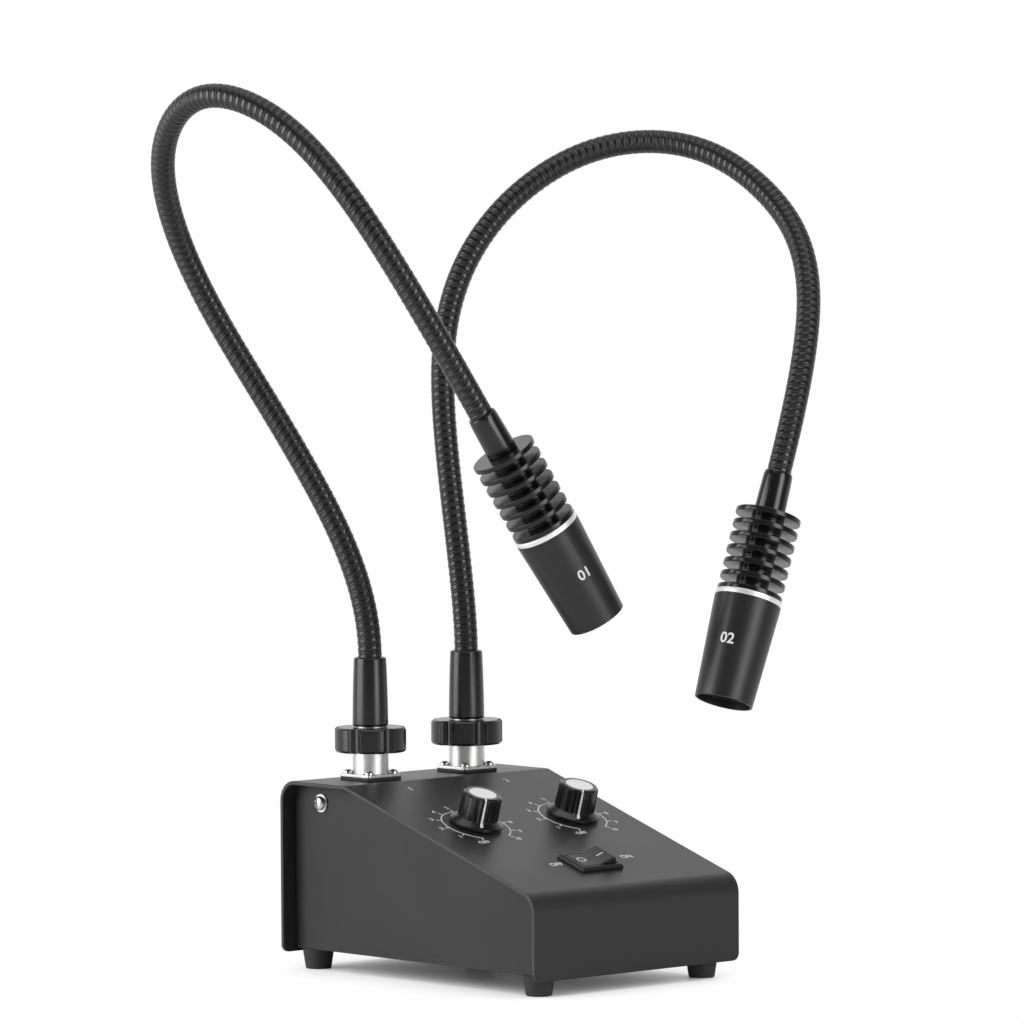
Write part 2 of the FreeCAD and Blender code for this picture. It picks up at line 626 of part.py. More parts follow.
def make_dimmer(side):
    """Potentiometer behind the slope, its nut, shaft, knob and metal disc."""
    seat = slope_place(f"knob_{side}_side", "knob_up", "0")
    back = "-(sheet_wall + pot_depth)"
    keep(turned(f"pot_{side}", (
        ("0", back),
        ("pot_width / 2", back),
        ("pot_width / 2", "-sheet_wall"),
        ("pot_bush / 2", "-sheet_wall"),
        ("pot_bush / 2", "pot_bush_reach"),
        ("shaft_width / 2 + shaft_gap", "pot_bush_reach"),
        ("shaft_width / 2 + shaft_gap", back + " + shaft_floor"),
        ("0", back + " + shaft_floor"),
    )), f"pot_{side}", seat)
    nut = cut("pot_nut_" + side, hexagon("pot_nut_blank", "pot_nut_width", "pot_nut_height"),
              [cylinder("pot_nut_bore", "pot_bush / 2 + thread_gap", "pot_nut_height + 2 * overrun",
                        Placement(Vector(0, 0, -value("overrun")), Rotation()))])
    keep(nut, f"pot_nut_{side}", seat)
    shaft_start = "-(sheet_wall + pot_depth) + shaft_floor + shaft_gap"
    shaft = cylinder(f"pot_shaft_{side}", "shaft_width / 2", f"knob_height - shaft_end - ({shaft_start})")
    keep(shaft, f"pot_shaft_{side}", lifted(seat, shaft_start))
    knob = turned(f"knob_{side}", (
        ("nut_room", "knob_float"),
        ("knob_skirt / 2", "knob_float"),
        ("knob_skirt / 2", "knob_float + skirt_edge"),
        ("knob_width / 2", "knob_float + skirt_rise"),
        ("(knob_width - knob_taper) / 2", "knob_height - knob_bevel"),
        ("(knob_width - knob_taper) / 2 - knob_bevel", "knob_height"),
        ("cap_width / 2", "knob_height"),
        ("cap_width / 2", "knob_height - cap_depth"),
        ("0", "knob_height - cap_depth"),
        ("0", "knob_height - shaft_end"),
        ("shaft_width / 2", "knob_height - shaft_end"),
        ("shaft_width / 2", "nut_room_height"),
        ("nut_room", "nut_room_height"),
    ))
    notched(knob, "knob_flute_count", "(knob_width + knob_flute) / 2 - knob_flute_depth", "knob_flute",
            "knob_height", "knob_height - knob_float - skirt_rise")
    pointer = Placement(Vector(0, 0, 0), Rotation(Z_AXIS, value("knob_rest_turn")))
    keep(knob, f"knob_{side}", seat.multiply(pointer))
    disc = cylinder(f"knob_cap_{side}", "cap_width / 2", "cap_depth")
    keep(disc, f"knob_cap_{side}", lifted(seat, "knob_height - cap_depth"))


# Power inlet

def make_inlet():
    """Round low-voltage inlet in the back wall, held by a nut inside."""
    place = inlet_place()
    keep(turned("power_inlet", (
        ("0", "-inlet_depth"),
        ("inlet_body / 2", "-inlet_depth"),
        ("inlet_body / 2", "0"),
        ("inlet_flange / 2", "0"),
        ("inlet_flange / 2", "inlet_flange_thick"),
        ("inlet_bore / 2", "inlet_flange_thick"),
        ("inlet_bore / 2", "-inlet_bore_depth"),
        ("inlet_pin / 2", "-inlet_bore_depth"),
        ("inlet_pin / 2", "0"),
        ("0", "0"),
    )), "power_inlet", place)
    nut = cut("power_inlet_nut", hexagon("inlet_nut_blank", "inlet_nut_width", "inlet_nut_thick"),
              [cylinder("inlet_nut_bore", "inlet_body / 2 + thread_gap", "inlet_nut_thick + 2 * overrun",
                        Placement(Vector(0, 0, -value("overrun")), Rotation()))])
    keep(nut, "power_inlet_nut", lifted(place, "-sheet_wall - inlet_nut_thick"))


# Driver board

def board_spot(across_share, along_share, height):
    """Point over the board, from shares of its width and length."""
    return Placement(Vector((across_share - 0.5) * value("board_width"),
                            (along_share - 0.5) * value("board_length"), value(height)), Rotation())


def make_board():
    """Driver board on four posts, with its chokes and capacitors."""
    under = "chassis_lift + sheet_wall + post_height"
    top = under + " + board_thick"
    pieces = [block("board", "board_width", "board_length", "board_thick", board_spot(0.5, 0.5, under))]
    for across, along in CHOKE_SHARES:
        pieces.append(block("choke", "choke_size", "choke_size", "choke_height",
                            board_spot(across, along, top)))
    for across, along in CAN_SHARES:
        pieces.append(cylinder("can", "can_width / 2", "can_height", board_spot(across, along, top)))
    keep(joined("driver_board", pieces), "driver_board")
    posts = []
    for x in (-1, 1):
        for y in (-1, 1):
            post = doc.addObject("Part::Prism", "post")
            tie(post, Circumradius="post_width / 2", Height="post_height")
            post.Placement = Placement(Vector(x * value("board_width / 2 - post_inset"),
                                              y * value("board_length / 2 - post_inset"),
                                              value("chassis_lift + sheet_wall")), Rotation())
            posts.append(post)
    group = doc.addObject("Part::Compound", "board_posts")
    group.Links = posts
    keep(group, "board_posts")


# Sockets, plugs and coupling nuts

FLANGE_TOP = "gasket_thick + flange_thick"
BARREL_TOP = FLANGE_TOP + " + barrel_show + barrel_hidden"
NUT_FOOT = FLANGE_TOP + " + barrel_show"
FERRULE_FOOT = NUT_FOOT + " + nut_height + nut_play"


def rounded_plate(name, thick, place):
    """Square plate with rounded corners."""
    plate = block(name, "flange_size", "flange_size", thick, place)
    doc.recompute()
    upright = [number for number, edge in enumerate(plate.Shape.Edges, 1)
               if edge.BoundBox.ZLength > NOTHING]
    rounding = doc.addObject("Part::Fillet", name + "_rounded")
    rounding.Base = plate
    rounding.Edges = [(number, value("flange_corner"), value("flange_corner")) for number in upright]
    return rounding


def make_socket(side):
    """Gasket, flanged socket, plug, lobed coupling nut and ferrule of one neck."""
    place = top_place(side)
    gasket = rounded_plate("gasket_plate", "gasket_thick", place)
    hole = cylinder("gasket_hole", "socket_tail / 2 + hole_gap", "gasket_thick + 2 * overrun",
                    lifted(place, "-overrun"))
    keep(cut(f"socket_gasket_{side}", gasket, [hole]), f"socket_gasket_{side}")
    solid = joined("socket_solid", [
        rounded_plate("flange_plate", "flange_thick", lifted(place, "gasket_thick")),
        cylinder("socket_barrel", "barrel_width / 2", "barrel_show + barrel_hidden + flange_thick",
                 lifted(place, "gasket_thick")),
        cylinder("socket_tail", "socket_tail / 2", "socket_tail_depth + gasket_thick + flange_thick",
                 lifted(place, "-socket_tail_depth")),
    ])
    bore = cylinder("socket_bore", "barrel_bore / 2",
                    f"socket_tail_depth - socket_floor + {BARREL_TOP} + overrun",
                    lifted(place, "-socket_tail_depth + socket_floor"))
    keep(cut(f"socket_{side}", solid, [bore]), f"socket_{side}")

    keep(turned(f"plug_{side}", (
        ("neck_bore / 2", f"{BARREL_TOP} - plug_nose_reach"),
        ("plug_nose / 2", f"{BARREL_TOP} - plug_nose_reach"),
        ("plug_nose / 2", BARREL_TOP),
        ("plug_shoulder / 2", BARREL_TOP),
        ("plug_shoulder / 2", f"{BARREL_TOP} + plug_shoulder_thick"),
        ("plug_stem / 2", f"{BARREL_TOP} + plug_shoulder_thick"),
        ("plug_stem / 2", FERRULE_FOOT),
        ("neck_bore / 2", FERRULE_FOOT),
    )), f"plug_{side}", place)

    nut_top = f"{NUT_FOOT} + nut_height"
    nut = turned(f"coupling_nut_{side}", (
        ("nut_bore / 2", NUT_FOOT),
        ("nut_width / 2 - nut_bevel", NUT_FOOT),
        ("nut_width / 2", f"{NUT_FOOT} + nut_bevel"),
        ("nut_width / 2", f"{nut_top} - nut_bevel"),
        ("nut_width / 2 - nut_bevel", nut_top),
        ("plug_stem / 2 + shaft_gap", nut_top),
        ("plug_stem / 2 + shaft_gap", f"{nut_top} - nut_web"),
        ("nut_bore / 2", f"{nut_top} - nut_web"),
    ))
    notched(nut, "nut_lobe_count", "(nut_width + nut_notch) / 2 - nut_notch_depth", "nut_notch",
            nut_top, "nut_height")
    turn = Placement(Vector(0, 0, 0), Rotation(Z_AXIS, value(f"nut_turn_{side}")))
    keep(nut, f"coupling_nut_{side}", place.multiply(turn))

    keep(turned(f"ferrule_{side}", (
        ("neck_bore / 2", FERRULE_FOOT),
        ("ferrule_foot / 2", FERRULE_FOOT),
        ("ferrule_top / 2", f"{FERRULE_FOOT} + ferrule_length"),
        ("neck_bore / 2", f"{FERRULE_FOOT} + ferrule_length"),
    )), f"ferrule_{side}", place)


# Necks

def neck_route(side):
    """Clamped cubic along the middle of a neck, from the ferrule to the head."""
    start = top_place(side).Base + Vector(0, 0, value(f"{FERRULE_FOOT} + ferrule_length"))
    shares = LEFT_ROUTE_SHARES if side == "left" else RIGHT_ROUTE_SHARES
    poles = [start + Vector(*share) * value("neck_length") for share in shares]
    pieces = len(poles) - 3
    curve = Part.BSplineCurve()
    curve.buildFromPolesMultsKnots(poles, [4] + [1] * (pieces - 1) + [4],
                                   [float(knot) for knot in range(pieces + 1)], False, 3)
    return curve


def neck_point(curve, share):
    """Point and direction at a share of a neck's length."""
    at = curve.parameterAtDistance(curve.length() * share, curve.FirstParameter)
    return curve.value(at), Vector(*curve.tangent(at)[0]).normalize()


def hinge_frame(side, number):
    """Point and direction where one stretch of a neck ends and the next begins."""
    return neck_point(neck_route(side), number / value("neck_span_count"))


def ring(diameter, at, along):
    """Many-sided ring across a neck, its first corner kept to the right."""
    across = (X_AXIS - along * X_AXIS.dot(along)).normalize()
    upward = along.cross(across)
    corners = []
    for number in range(NECK_SIDES + 1):
        turn = 2 * math.pi * (number % NECK_SIDES) / NECK_SIDES
        corners.append(at + (across * math.cos(turn) + upward * math.sin(turn)) * (diameter / 2))
    return Part.makePolygon(corners)


def straight_length(diameter, start, end):
    """Straight many-sided stick from one point to another."""
    way = end - start
    return Part.Face(ring(value(diameter), start, Vector(*way).normalize())).extrude(way)


def neck_span(side, number):
    """One stretch of a neck: straight links in a chain, each under a raised rib."""
    curve = neck_route(side)
    ribs, spans = int(value("span_rib_count")), int(value("neck_span_count"))
    pitch = curve.length() / (ribs * spans)
    slit = value("neck_slit") / 2
    centres = [neck_point(curve, ((number - 1) * ribs + rib + 1 / 2) / (ribs * spans))
               for rib in range(ribs)]
    first, first_way = hinge_frame(side, number - 1)
    last, last_way = hinge_frame(side, number)
    links = [(first + first_way * (slit if number > 1 else 0), first + first_way * pitch / 2)]
    links += [(one[0], two[0]) for one, two in zip(centres, centres[1:])]
    links += [(last - last_way * pitch / 2, last - last_way * slit)]
    reach = pitch * RIB_REACH_SHARE
    beads = [straight_length("neck_width", at - way * reach, at + way * reach) for at, way in centres]
    core = [straight_length("neck_root", *link) for link in links]
    bore = [straight_length("neck_bore", *link) for link in links]
    return core[0].multiFuse(core[1:] + beads).cut(bore[0].multiFuse(bore[1:]))


def make_neck(side):
    for number in range(1, int(value("neck_span_count")) + 1):
        span = doc.addObject("Part::Feature", f"neck_{side}_{number}")
        span.Shape = neck_span(side, number)
        keep(span, f"neck_{side}_{number}")


# Lamp heads

FIN_START = "neck_slit / 2 + collar_length"
FIN_END = FIN_START + " + (fin_count - 1) * fin_pitch + fin_thick"
RING_END = FIN_END + " + ring_thick"
MOUTH = RING_END + " + head_length"


def head_place(side):
    """Frame of a lamp head: at the end of its neck, Z along the beam."""
    at, along = neck_point(neck_route(side), 1.0)
    return Placement(at, Rotation(Z_AXIS, along))


def make_heat_sink(side):
    """Core with its row of round fins, bored for the leads."""
    body = doc.addObject("PartDesign::Body", f"heat_sink_{side}")
    features = []
    for title, diameter, length in (("Core", "fin_core", f"{FIN_END} - ({FIN_START})"),
                                    ("Fin", "fin_width", "fin_thick")):
        sketch = new_sketch(body, "XY_Plane", FIN_START)
        draw_circle(sketch, "0", diameter)
        pad = body.newObject("PartDesign::Pad", title)
        pad.Profile = sketch
        tie(pad, Length=length)
        doc.recompute()
        features.append(pad)
    row = body.newObject("PartDesign::LinearPattern", "Fins")
    row.Originals = [features[1]]
    row.Direction = (sketch, ["N_Axis"])
    tie(row, Length="(fin_count - 1) * fin_pitch", Occurrences="fin_count")
    body.Tip = row
    doc.recompute()
    bore_sketch = new_sketch(body, "XY_Plane", FIN_END)
    draw_circle(bore_sketch, "0", "neck_bore")
    bore = body.newObject("PartDesign::Pocket", "Bore")
    bore.Profile = bore_sketch
    bore.Type = 1
    doc.recompute()
    if bore.Shape.Volume >= row.Shape.Volume:
        raise ValueError(f"{body.Name}: the bore cuts nothing")
    return body


def make_head(side):
    """Collar, finned heat sink, bright ring, hollow barrel, lens and emitter of one lamp."""
    place = head_place(side)
    start = "neck_slit / 2"
    keep(turned(f"head_collar_{side}", (
        ("neck_bore / 2", start),
        ("neck_root / 2", start),
        ("neck_root / 2", f"{start} + collar_nose"),
        ("collar_start / 2", f"{start} + 2 * collar_nose"),
        ("collar_end / 2", FIN_START),
        ("neck_bore / 2", FIN_START),
    )), f"head_collar_{side}", place)
    keep(make_heat_sink(side), f"heat_sink_{side}", place)
    keep(turned(f"trim_ring_{side}", (
        ("ring_bore / 2", FIN_END),
        ("ring_width / 2", FIN_END),
        ("ring_width / 2", RING_END),
        ("ring_bore / 2", RING_END),
    )), f"trim_ring_{side}", place)
    mouth = "mouth_width / 2 - mouth_wall"
    seat = f"{MOUTH} - lens_depth - lens_edge"
    keep(turned(f"head_barrel_{side}", (
        ("rear_bore / 2", RING_END),
        ("ring_width / 2", RING_END),
        ("mouth_width / 2", MOUTH),
        (mouth, MOUTH),
        (mouth, f"{MOUTH} - mouth_ledge_depth"),
        (f"{mouth} - mouth_ledge", f"{MOUTH} - mouth_ledge_depth"),
        (f"{mouth} - mouth_ledge", f"{MOUTH} - 2 * mouth_ledge_depth"),
        (f"{mouth} - 2 * mouth_ledge", f"{MOUTH} - 2 * mouth_ledge_depth"),
        (f"{mouth} - 2 * mouth_ledge", seat),
        (f"{mouth} - 2 * mouth_ledge - lens_seat", seat),
        (f"{mouth} - 2 * mouth_ledge - lens_seat", f"{seat} - lens_seat_thick"),
        ("rear_bore / 2", f"{seat} - lens_seat_thick"),
    )), f"head_barrel_{side}", place)
    keep(turned(f"lens_{side}", (
        ("0", seat),
        (f"{mouth} - 2 * mouth_ledge", seat),
        (f"{mouth} - 2 * mouth_ledge", f"{seat} + lens_edge"),
        (f"({mouth} - 2 * mouth_ledge) / 2", f"{seat} + lens_edge + lens_rise * 0.75"),
        ("0", f"{seat} + lens_edge + lens_rise"),
    )), f"lens_{side}", place)
    emitter = joined(f"led_board_{side}", [
        cylinder("led_disc", "led_width / 2", "led_thick"),
        block("led_emitter", "emitter_width", "emitter_width", "emitter_thick",
              Placement(Vector(0, 0, value("led_thick")), Rotation())),
    ])
    doc.recompute()
    keep(emitter, f"led_board_{side}", lifted(place, FIN_END))


# Assembly and export

def make_all():
    make_cover()
    make_chassis()
    make_side_screws()
    make_feet()
    make_switch()
    for side in SIDES:
        make_dimmer(side)
    make_inlet()
    make_board()
    for side in SIDES:
        make_socket(side)
        make_neck(side)
        make_head(side)
    doc.recompute()


def check_all():
    """Stop where an object failed or a sub-part is empty or unsound."""
    for thing in doc.Objects:
        if {"Invalid", "Error"} & set(thing.State):
            raise ValueError(f"{thing.Label} failed: {thing.State}")
    for node in nodes:
        shape = node.Shape
        if shape.isNull() or not shape.isValid() or shape.Volume <= 0:
            raise ValueError(f"{node.Label} has no sound solid")


def export_all():
    for node in nodes:
        node.Shape.exportStep(f"parts/{node.Label}.step")
        print(f"{node.Label}: {node.Shape.Volume:.0f} mm3, {len(node.Shape.Solids)} solid(s)")
    print(f"{len(nodes)} sub-parts")


make_all()
check_all()
export_all()
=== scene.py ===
"""Bench illuminator with two gooseneck lamps, dressed for rendering.

Metres, +Z up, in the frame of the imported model: the origin is on the bench under the middle of
the control box, -Y is the operator's side and the left lamp stands at -X.
"""

import logging
import math
from dataclasses import dataclass
from enum import Enum
from typing import Callable, Optional, Sequence, Union

import bmesh
import bpy
from mathutils import Matrix, Vector


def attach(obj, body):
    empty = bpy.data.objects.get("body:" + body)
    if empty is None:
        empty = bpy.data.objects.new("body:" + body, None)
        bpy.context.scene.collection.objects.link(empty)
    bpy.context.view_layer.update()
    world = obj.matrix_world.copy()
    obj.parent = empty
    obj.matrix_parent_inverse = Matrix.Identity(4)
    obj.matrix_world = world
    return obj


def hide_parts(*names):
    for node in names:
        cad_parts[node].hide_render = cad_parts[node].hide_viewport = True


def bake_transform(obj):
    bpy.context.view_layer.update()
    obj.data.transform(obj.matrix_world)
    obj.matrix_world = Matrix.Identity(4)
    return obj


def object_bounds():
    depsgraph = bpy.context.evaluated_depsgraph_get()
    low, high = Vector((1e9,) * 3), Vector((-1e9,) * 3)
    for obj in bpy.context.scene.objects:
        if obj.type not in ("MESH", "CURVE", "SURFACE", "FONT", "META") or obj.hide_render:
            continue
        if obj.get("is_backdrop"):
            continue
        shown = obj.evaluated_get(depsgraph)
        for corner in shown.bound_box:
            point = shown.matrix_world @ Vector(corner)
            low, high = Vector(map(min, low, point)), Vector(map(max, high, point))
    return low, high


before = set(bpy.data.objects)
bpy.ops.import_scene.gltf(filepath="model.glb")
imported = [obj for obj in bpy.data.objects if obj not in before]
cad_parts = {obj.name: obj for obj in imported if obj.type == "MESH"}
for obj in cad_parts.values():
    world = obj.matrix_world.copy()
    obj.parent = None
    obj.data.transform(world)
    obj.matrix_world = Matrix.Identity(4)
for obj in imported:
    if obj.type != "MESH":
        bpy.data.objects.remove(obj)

LOG = logging.getLogger("illuminator")
MM = 0.001
Colour = tuple[float, float, float]
Point = tuple[float, float]
Form = bmesh.types.BMesh


# Node trees

def operator(operation: str, reflected: bool = False) -> Callable[["Wire", "Value"], "Wire"]:
    """Make an operator of Wire.

    Args:
        operation: The Math node's operation.
        reflected: Whether the other value stands in front.

    Returns:
        The method, which adds the node.
    """
    def method(wire: "Wire", other: "Value") -> "Wire":
        """Add the node over this wire and another value."""
        pair = (other, wire) if reflected else (wire, other)
        return wire.pen.math(operation, *pair)

    return method


@dataclass(frozen=True, eq=False)
class Wire:
    """A node socket that Python's arithmetic works on."""

    pen: "NodePen"
    socket: bpy.types.NodeSocket

    __add__ = operator("ADD")
    __radd__ = operator("ADD", True)
    __sub__ = operator("SUBTRACT")
    __rsub__ = operator("SUBTRACT", True)
    __mul__ = operator("MULTIPLY")
    __rmul__ = operator("MULTIPLY", True)
    __truediv__ = operator("DIVIDE")
    __rtruediv__ = operator("DIVIDE", True)
    __pow__ = operator("POWER")
    __rpow__ = operator("POWER", True)


Value = Union[Wire, float, int]
Feed = Union[Wire, float, int, tuple, str, bool, bpy.types.ID]
Settings = dict[str, object]
Feeds = dict[Union[str, int], Feed]


class NodePen:
    """Draws nodes into one tree."""

    def __init__(self, tree: bpy.types.NodeTree) -> None:
        """Take up a shader or geometry tree."""
        self.tree = tree

    def node(self, kind: str, settings: Optional[Settings] = None,
             feeds: Optional[Feeds] = None) -> bpy.types.Node:
        """Add one node, set its own settings first and then feed its sockets.

        Args:
            kind: The node's type.
            settings: Properties of the node, such as its operation.
            feeds: Values or wires by socket name or number.

        Returns:
            The new node.
        """
        node = self.tree.nodes.new(kind)
        for name, setting in (settings or {}).items():
            setattr(node, name, setting)
        for name, feed in (feeds or {}).items():
            self.feed(node, name, feed)
        return node

    def feed(self, node: bpy.types.Node, name: Union[str, int], feed: Feed) -> None:
        """Link a wire to one input of a node, or set that input's value.

        Args:
            node: The node.
            name: The input's name or number.
            feed: The wire or the value.
        """
        if isinstance(feed, Wire):
            self.tree.links.new(feed.socket, node.inputs[name])
        else:
            node.inputs[name].default_value = feed

    def out(self, node: bpy.types.Node, name: Union[str, int] = 0) -> Wire:
        """Wrap one output of a node."""
        return Wire(self, node.outputs[name])

    def value(self, kind: str, output: Union[str, int] = 0, settings: Optional[Settings] = None,
              feeds: Optional[Feeds] = None) -> Wire:
        """Add one node and wrap one of its outputs."""
        return self.out(self.node(kind, settings, feeds), output)

    def math(self, operation: str, *values: Value) -> Wire:
        """Add a Math node over numbers or wires, in the order of its sockets."""
        return self.value("ShaderNodeMath", 0, {"operation": operation}, dict(enumerate(values)))

    def clamped(self, value: Value) -> Wire:
        """Hold a value between 0 and 1."""
        return self.math("MINIMUM", self.math("MAXIMUM", value, 0.0), 1.0)

    def vector(self, operation: str, *values: Feed) -> Wire:
        """Add a Vector Math node that gives a vector."""
        return self.value("ShaderNodeVectorMath", 0, {"operation": operation}, dict(enumerate(values)))

    def scaled(self, vector: Feed, factor: Value) -> Wire:
        """Scale a vector by a number."""
        feeds = {0: vector, "Scale": factor}
        return self.value("ShaderNodeVectorMath", 0, {"operation": "SCALE"}, feeds)


def cleared(owner: Union[bpy.types.Material, bpy.types.World]) -> NodePen:
    """Empty the tree of a material or of the world.

    Args:
        owner: The material or the world.

    Returns:
        A pen for the tree.
    """
    owner.use_nodes = True
    owner.node_tree.nodes.clear()
    return NodePen(owner.node_tree)


# Finishes

@dataclass(frozen=True)
class Finish:
    """What every finish has: a name, a grey or colour and a roughness."""

    name: str
    colour: Colour
    roughness: float

    def material(self) -> bpy.types.Material:
        """Make the material.

        Returns:
            A node material with this finish.
        """
        material = bpy.data.materials.new(self.name)
        material.diffuse_color = (*self.colour, 1.0)
        pen = cleared(material)
        surface = pen.node("ShaderNodeBsdfPrincipled",
                           feeds={"Base Color": (*self.colour, 1.0), "Roughness": self.roughness})
        self.paint(pen, surface)
        pen.node("ShaderNodeOutputMaterial", feeds={"Surface": pen.out(surface)})
        return material

    def paint(self, pen: NodePen, surface: bpy.types.Node) -> None:
        """Add what this finish shows. A subclass fills this in."""

    @staticmethod
    def place(pen: NodePen) -> Wire:
        """Give the object's own coordinates."""
        return pen.value("ShaderNodeTexCoord", "Object")

    def cloud(self, pen: NodePen, scale: float, detail: float) -> Wire:
        """Give smooth noise from 0 to 1.

        Args:
            pen: The pen.
            scale: Patches to the metre.
            detail: Octaves.

        Returns:
            The noise.
        """
        feeds = {"Vector": self.place(pen), "Scale": scale, "Detail": detail}
        return pen.value("ShaderNodeTexNoise", "Fac", feeds=feeds)

    def tint(self, pen: NodePen, surface: bpy.types.Node, mask: Wire, tone: float) -> None:
        """Blend the base colour towards a darker or brighter one.

        Args:
            pen: The pen.
            surface: The surface node.
            mask: 0 keeps the finish's colour, 1 gives the other.
            tone: Factor from the finish's colour to the other.
        """
        other = tuple(min(1.0, channel * tone) for channel in self.colour)
        feeds = {0: mask, 6: (*self.colour, 1.0), 7: (*other, 1.0)}
        pen.feed(surface, "Base Color", pen.value("ShaderNodeMix", 2, {"data_type": "RGBA"}, feeds))

    @staticmethod
    def relief(pen: NodePen, surface: bpy.types.Node, height: Wire, depth: float) -> None:
        """Feed a height to the surface as bump.

        Args:
            pen: The pen.
            surface: The surface node.
            height: Height from 0 to 1.
            depth: What 1 stands for, in metres.
        """
        feeds = {"Strength": 1.0, "Distance": depth, "Height": height}
        pen.feed(surface, "Normal", pen.value("ShaderNodeBump", feeds=feeds))


@dataclass(frozen=True)
class Layer:
    """One noise over a surface, and its share in each thing that varies there."""

    scale: float
    detail: float
    colour: float = 0.0
    roughness: float = 0.0
    height: float = 0.0


@dataclass(frozen=True)
class Grained(Finish):
    """A finish whose colour, roughness and relief vary with layers of noise.

    The tone is the factor to the other end of its tint. The ease is taken off its roughness before
    the layers are added, and the depth is that of its relief in metres.
    """

    layers: tuple[Layer, ...] = ()
    tone: float = 1.0
    ease: float = 0.0
    depth: float = 0.0
    metallic: float = 0.0

    def paint(self, pen: NodePen, surface: bpy.types.Node) -> None:
        """Feed the surface with the sums of the layers.

        Args:
            pen: The pen.
            surface: The surface node.
        """
        pen.feed(surface, "Metallic", self.metallic)
        noises = [self.cloud(pen, layer.scale, layer.detail) for layer in self.layers]
        mask, height = self.total(noises, "colour"), self.total(noises, "height")
        if mask:
            self.tint(pen, surface, mask, self.tone)
        pen.feed(surface, "Roughness", self.total(noises, "roughness") + (self.roughness - self.ease))
        if height:
            self.relief(pen, surface, height, self.depth)

    def total(self, noises: Sequence[Wire], kind: str) -> Optional[Wire]:
        """Add up the noises by the layers' shares of one kind.

        Args:
            noises: The layers' noises.
            kind: "colour", "roughness" or "height".

        Returns:
            The sum, or None if no layer has such a share.
        """
        shares = [getattr(layer, kind) for layer in self.layers]
        parts = [noise * share for noise, share in zip(noises, shares) if share]
        return sum(parts[1:], parts[0]) if parts else None


@dataclass(frozen=True)
class PowderCoat(Grained):
    """Baked paint on sheet metal, finely pebbled, a little uneven and dusty."""

    layers: tuple[Layer, ...] = (Layer(1500.0, 3.0, 0.35, 0.06, 1.0), Layer(28.0, 3.0, 0.35, 0.10))
    tone: float = 1.35
    ease: float = 0.05
    depth: float = 0.00005


@dataclass(frozen=True)
class MouldedPlastic(Grained):
    """Hard black plastic, satin to glossy, with faint smears and a fine mould texture."""

    layers: tuple[Layer, ...] = (Layer(2400.0, 2.0, height=0.5), Layer(130.0, 4.0, 0.5, 0.16, 1.0))
    tone: float = 1.5
    ease: float = 0.08
    depth: float = 0.00002


@dataclass(frozen=True)
class Anodised(Grained):
    """Black anodised aluminium with fine grain and faint patches."""

    layers: tuple[Layer, ...] = (Layer(2600.0, 2.0, 0.3, 0.08, 1.0), Layer(90.0, 3.0, 0.4, 0.1))
    tone: float = 1.35
    ease: float = 0.09
    depth: float = 0.00002
    metallic: float = 0.35


@dataclass(frozen=True)
class Rubber(Grained):
    """Matt rubber with a slight bloom and a fine skin."""

    layers: tuple[Layer, ...] = (Layer(3000.0, 2.0, height=1.0), Layer(320.0, 4.0, 0.7, 0.15))
    tone: float = 1.8
    ease: float = 0.08
    depth: float = 0.00004


@dataclass(frozen=True)
class PrintedInk(Grained):
    """Screen-printed paint, a little thin in places."""

    layers: tuple[Layer, ...] = (Layer(900.0, 3.0, 0.35, 0.2),)
    tone: float = 0.7
    ease: float = 0.1


@dataclass(frozen=True)
class ClearGlass(Grained):
    """Moulded clear lens with a trace of dust."""

    layers: tuple[Layer, ...] = (Layer(1500.0, 3.0, 0.0, 0.1, 1.0),)
    ease: float = 0.03
    depth: float = 0.000004
    bend: float = 1.49

    def paint(self, pen: NodePen, surface: bpy.types.Node) -> None:
        """Let light through and add the dust.

        Args:
            pen: The pen.
            surface: The surface node.
        """
        pen.feed(surface, "Transmission Weight", 1.0)
        pen.feed(surface, "IOR", self.bend)
        super().paint(pen, surface)


@dataclass(frozen=True)
class PlatedMetal(Grained):
    """Nickel or chrome plate, turned steel or aluminium, slightly tarnished."""

    tone: float = 0.6
    ease: float = 0.11
    metallic: float = 1.0
    mottle: float = 0.0
    grain: float = 1800.0

    def paint(self, pen: NodePen, surface: bpy.types.Node) -> None:
        """Add the tarnish and the metal's grain, which is deeper the more it is mottled.

        Args:
            pen: The pen.
            surface: The surface node.
        """
        layers = (Layer(self.grain, 3.0, self.mottle, 0.14, 1.0), Layer(160.0, 3.0, 0.25, 0.08))
        depth = 0.00003 + 0.00006 * self.mottle
        Grained(self.name, self.colour, self.roughness, layers, self.tone, self.ease, depth,
                self.metallic).paint(pen, surface)


@dataclass(frozen=True)
class NeckJacket(Finish):
    """Lacquered wound metal of a gooseneck, rough in its grooves, which are darkened with painted shade.
    """

    def paint(self, pen: NodePen, surface: bpy.types.Node) -> None:
        """Paint shade into the grooves and wear the crests.

        Args:
            pen: The pen.
            surface: The surface node.
        """
        crest = pen.value("ShaderNodeAttribute", "Fac", {"attribute_name": "crest"})
        smears = self.cloud(pen, 260.0, 4.0)
        # Painted shade: the grooves are darkened to 0.3 of the colour, a little unevenly with the
        # smears.
        mask = crest * (smears * 0.15 + 0.85)
        self.tint(pen, surface, 1 - mask, 0.3)
        pen.feed(surface, "Roughness", self.roughness + 0.4 - crest * 0.4 + smears * 0.04)
        self.relief(pen, surface, smears, 0.000004)


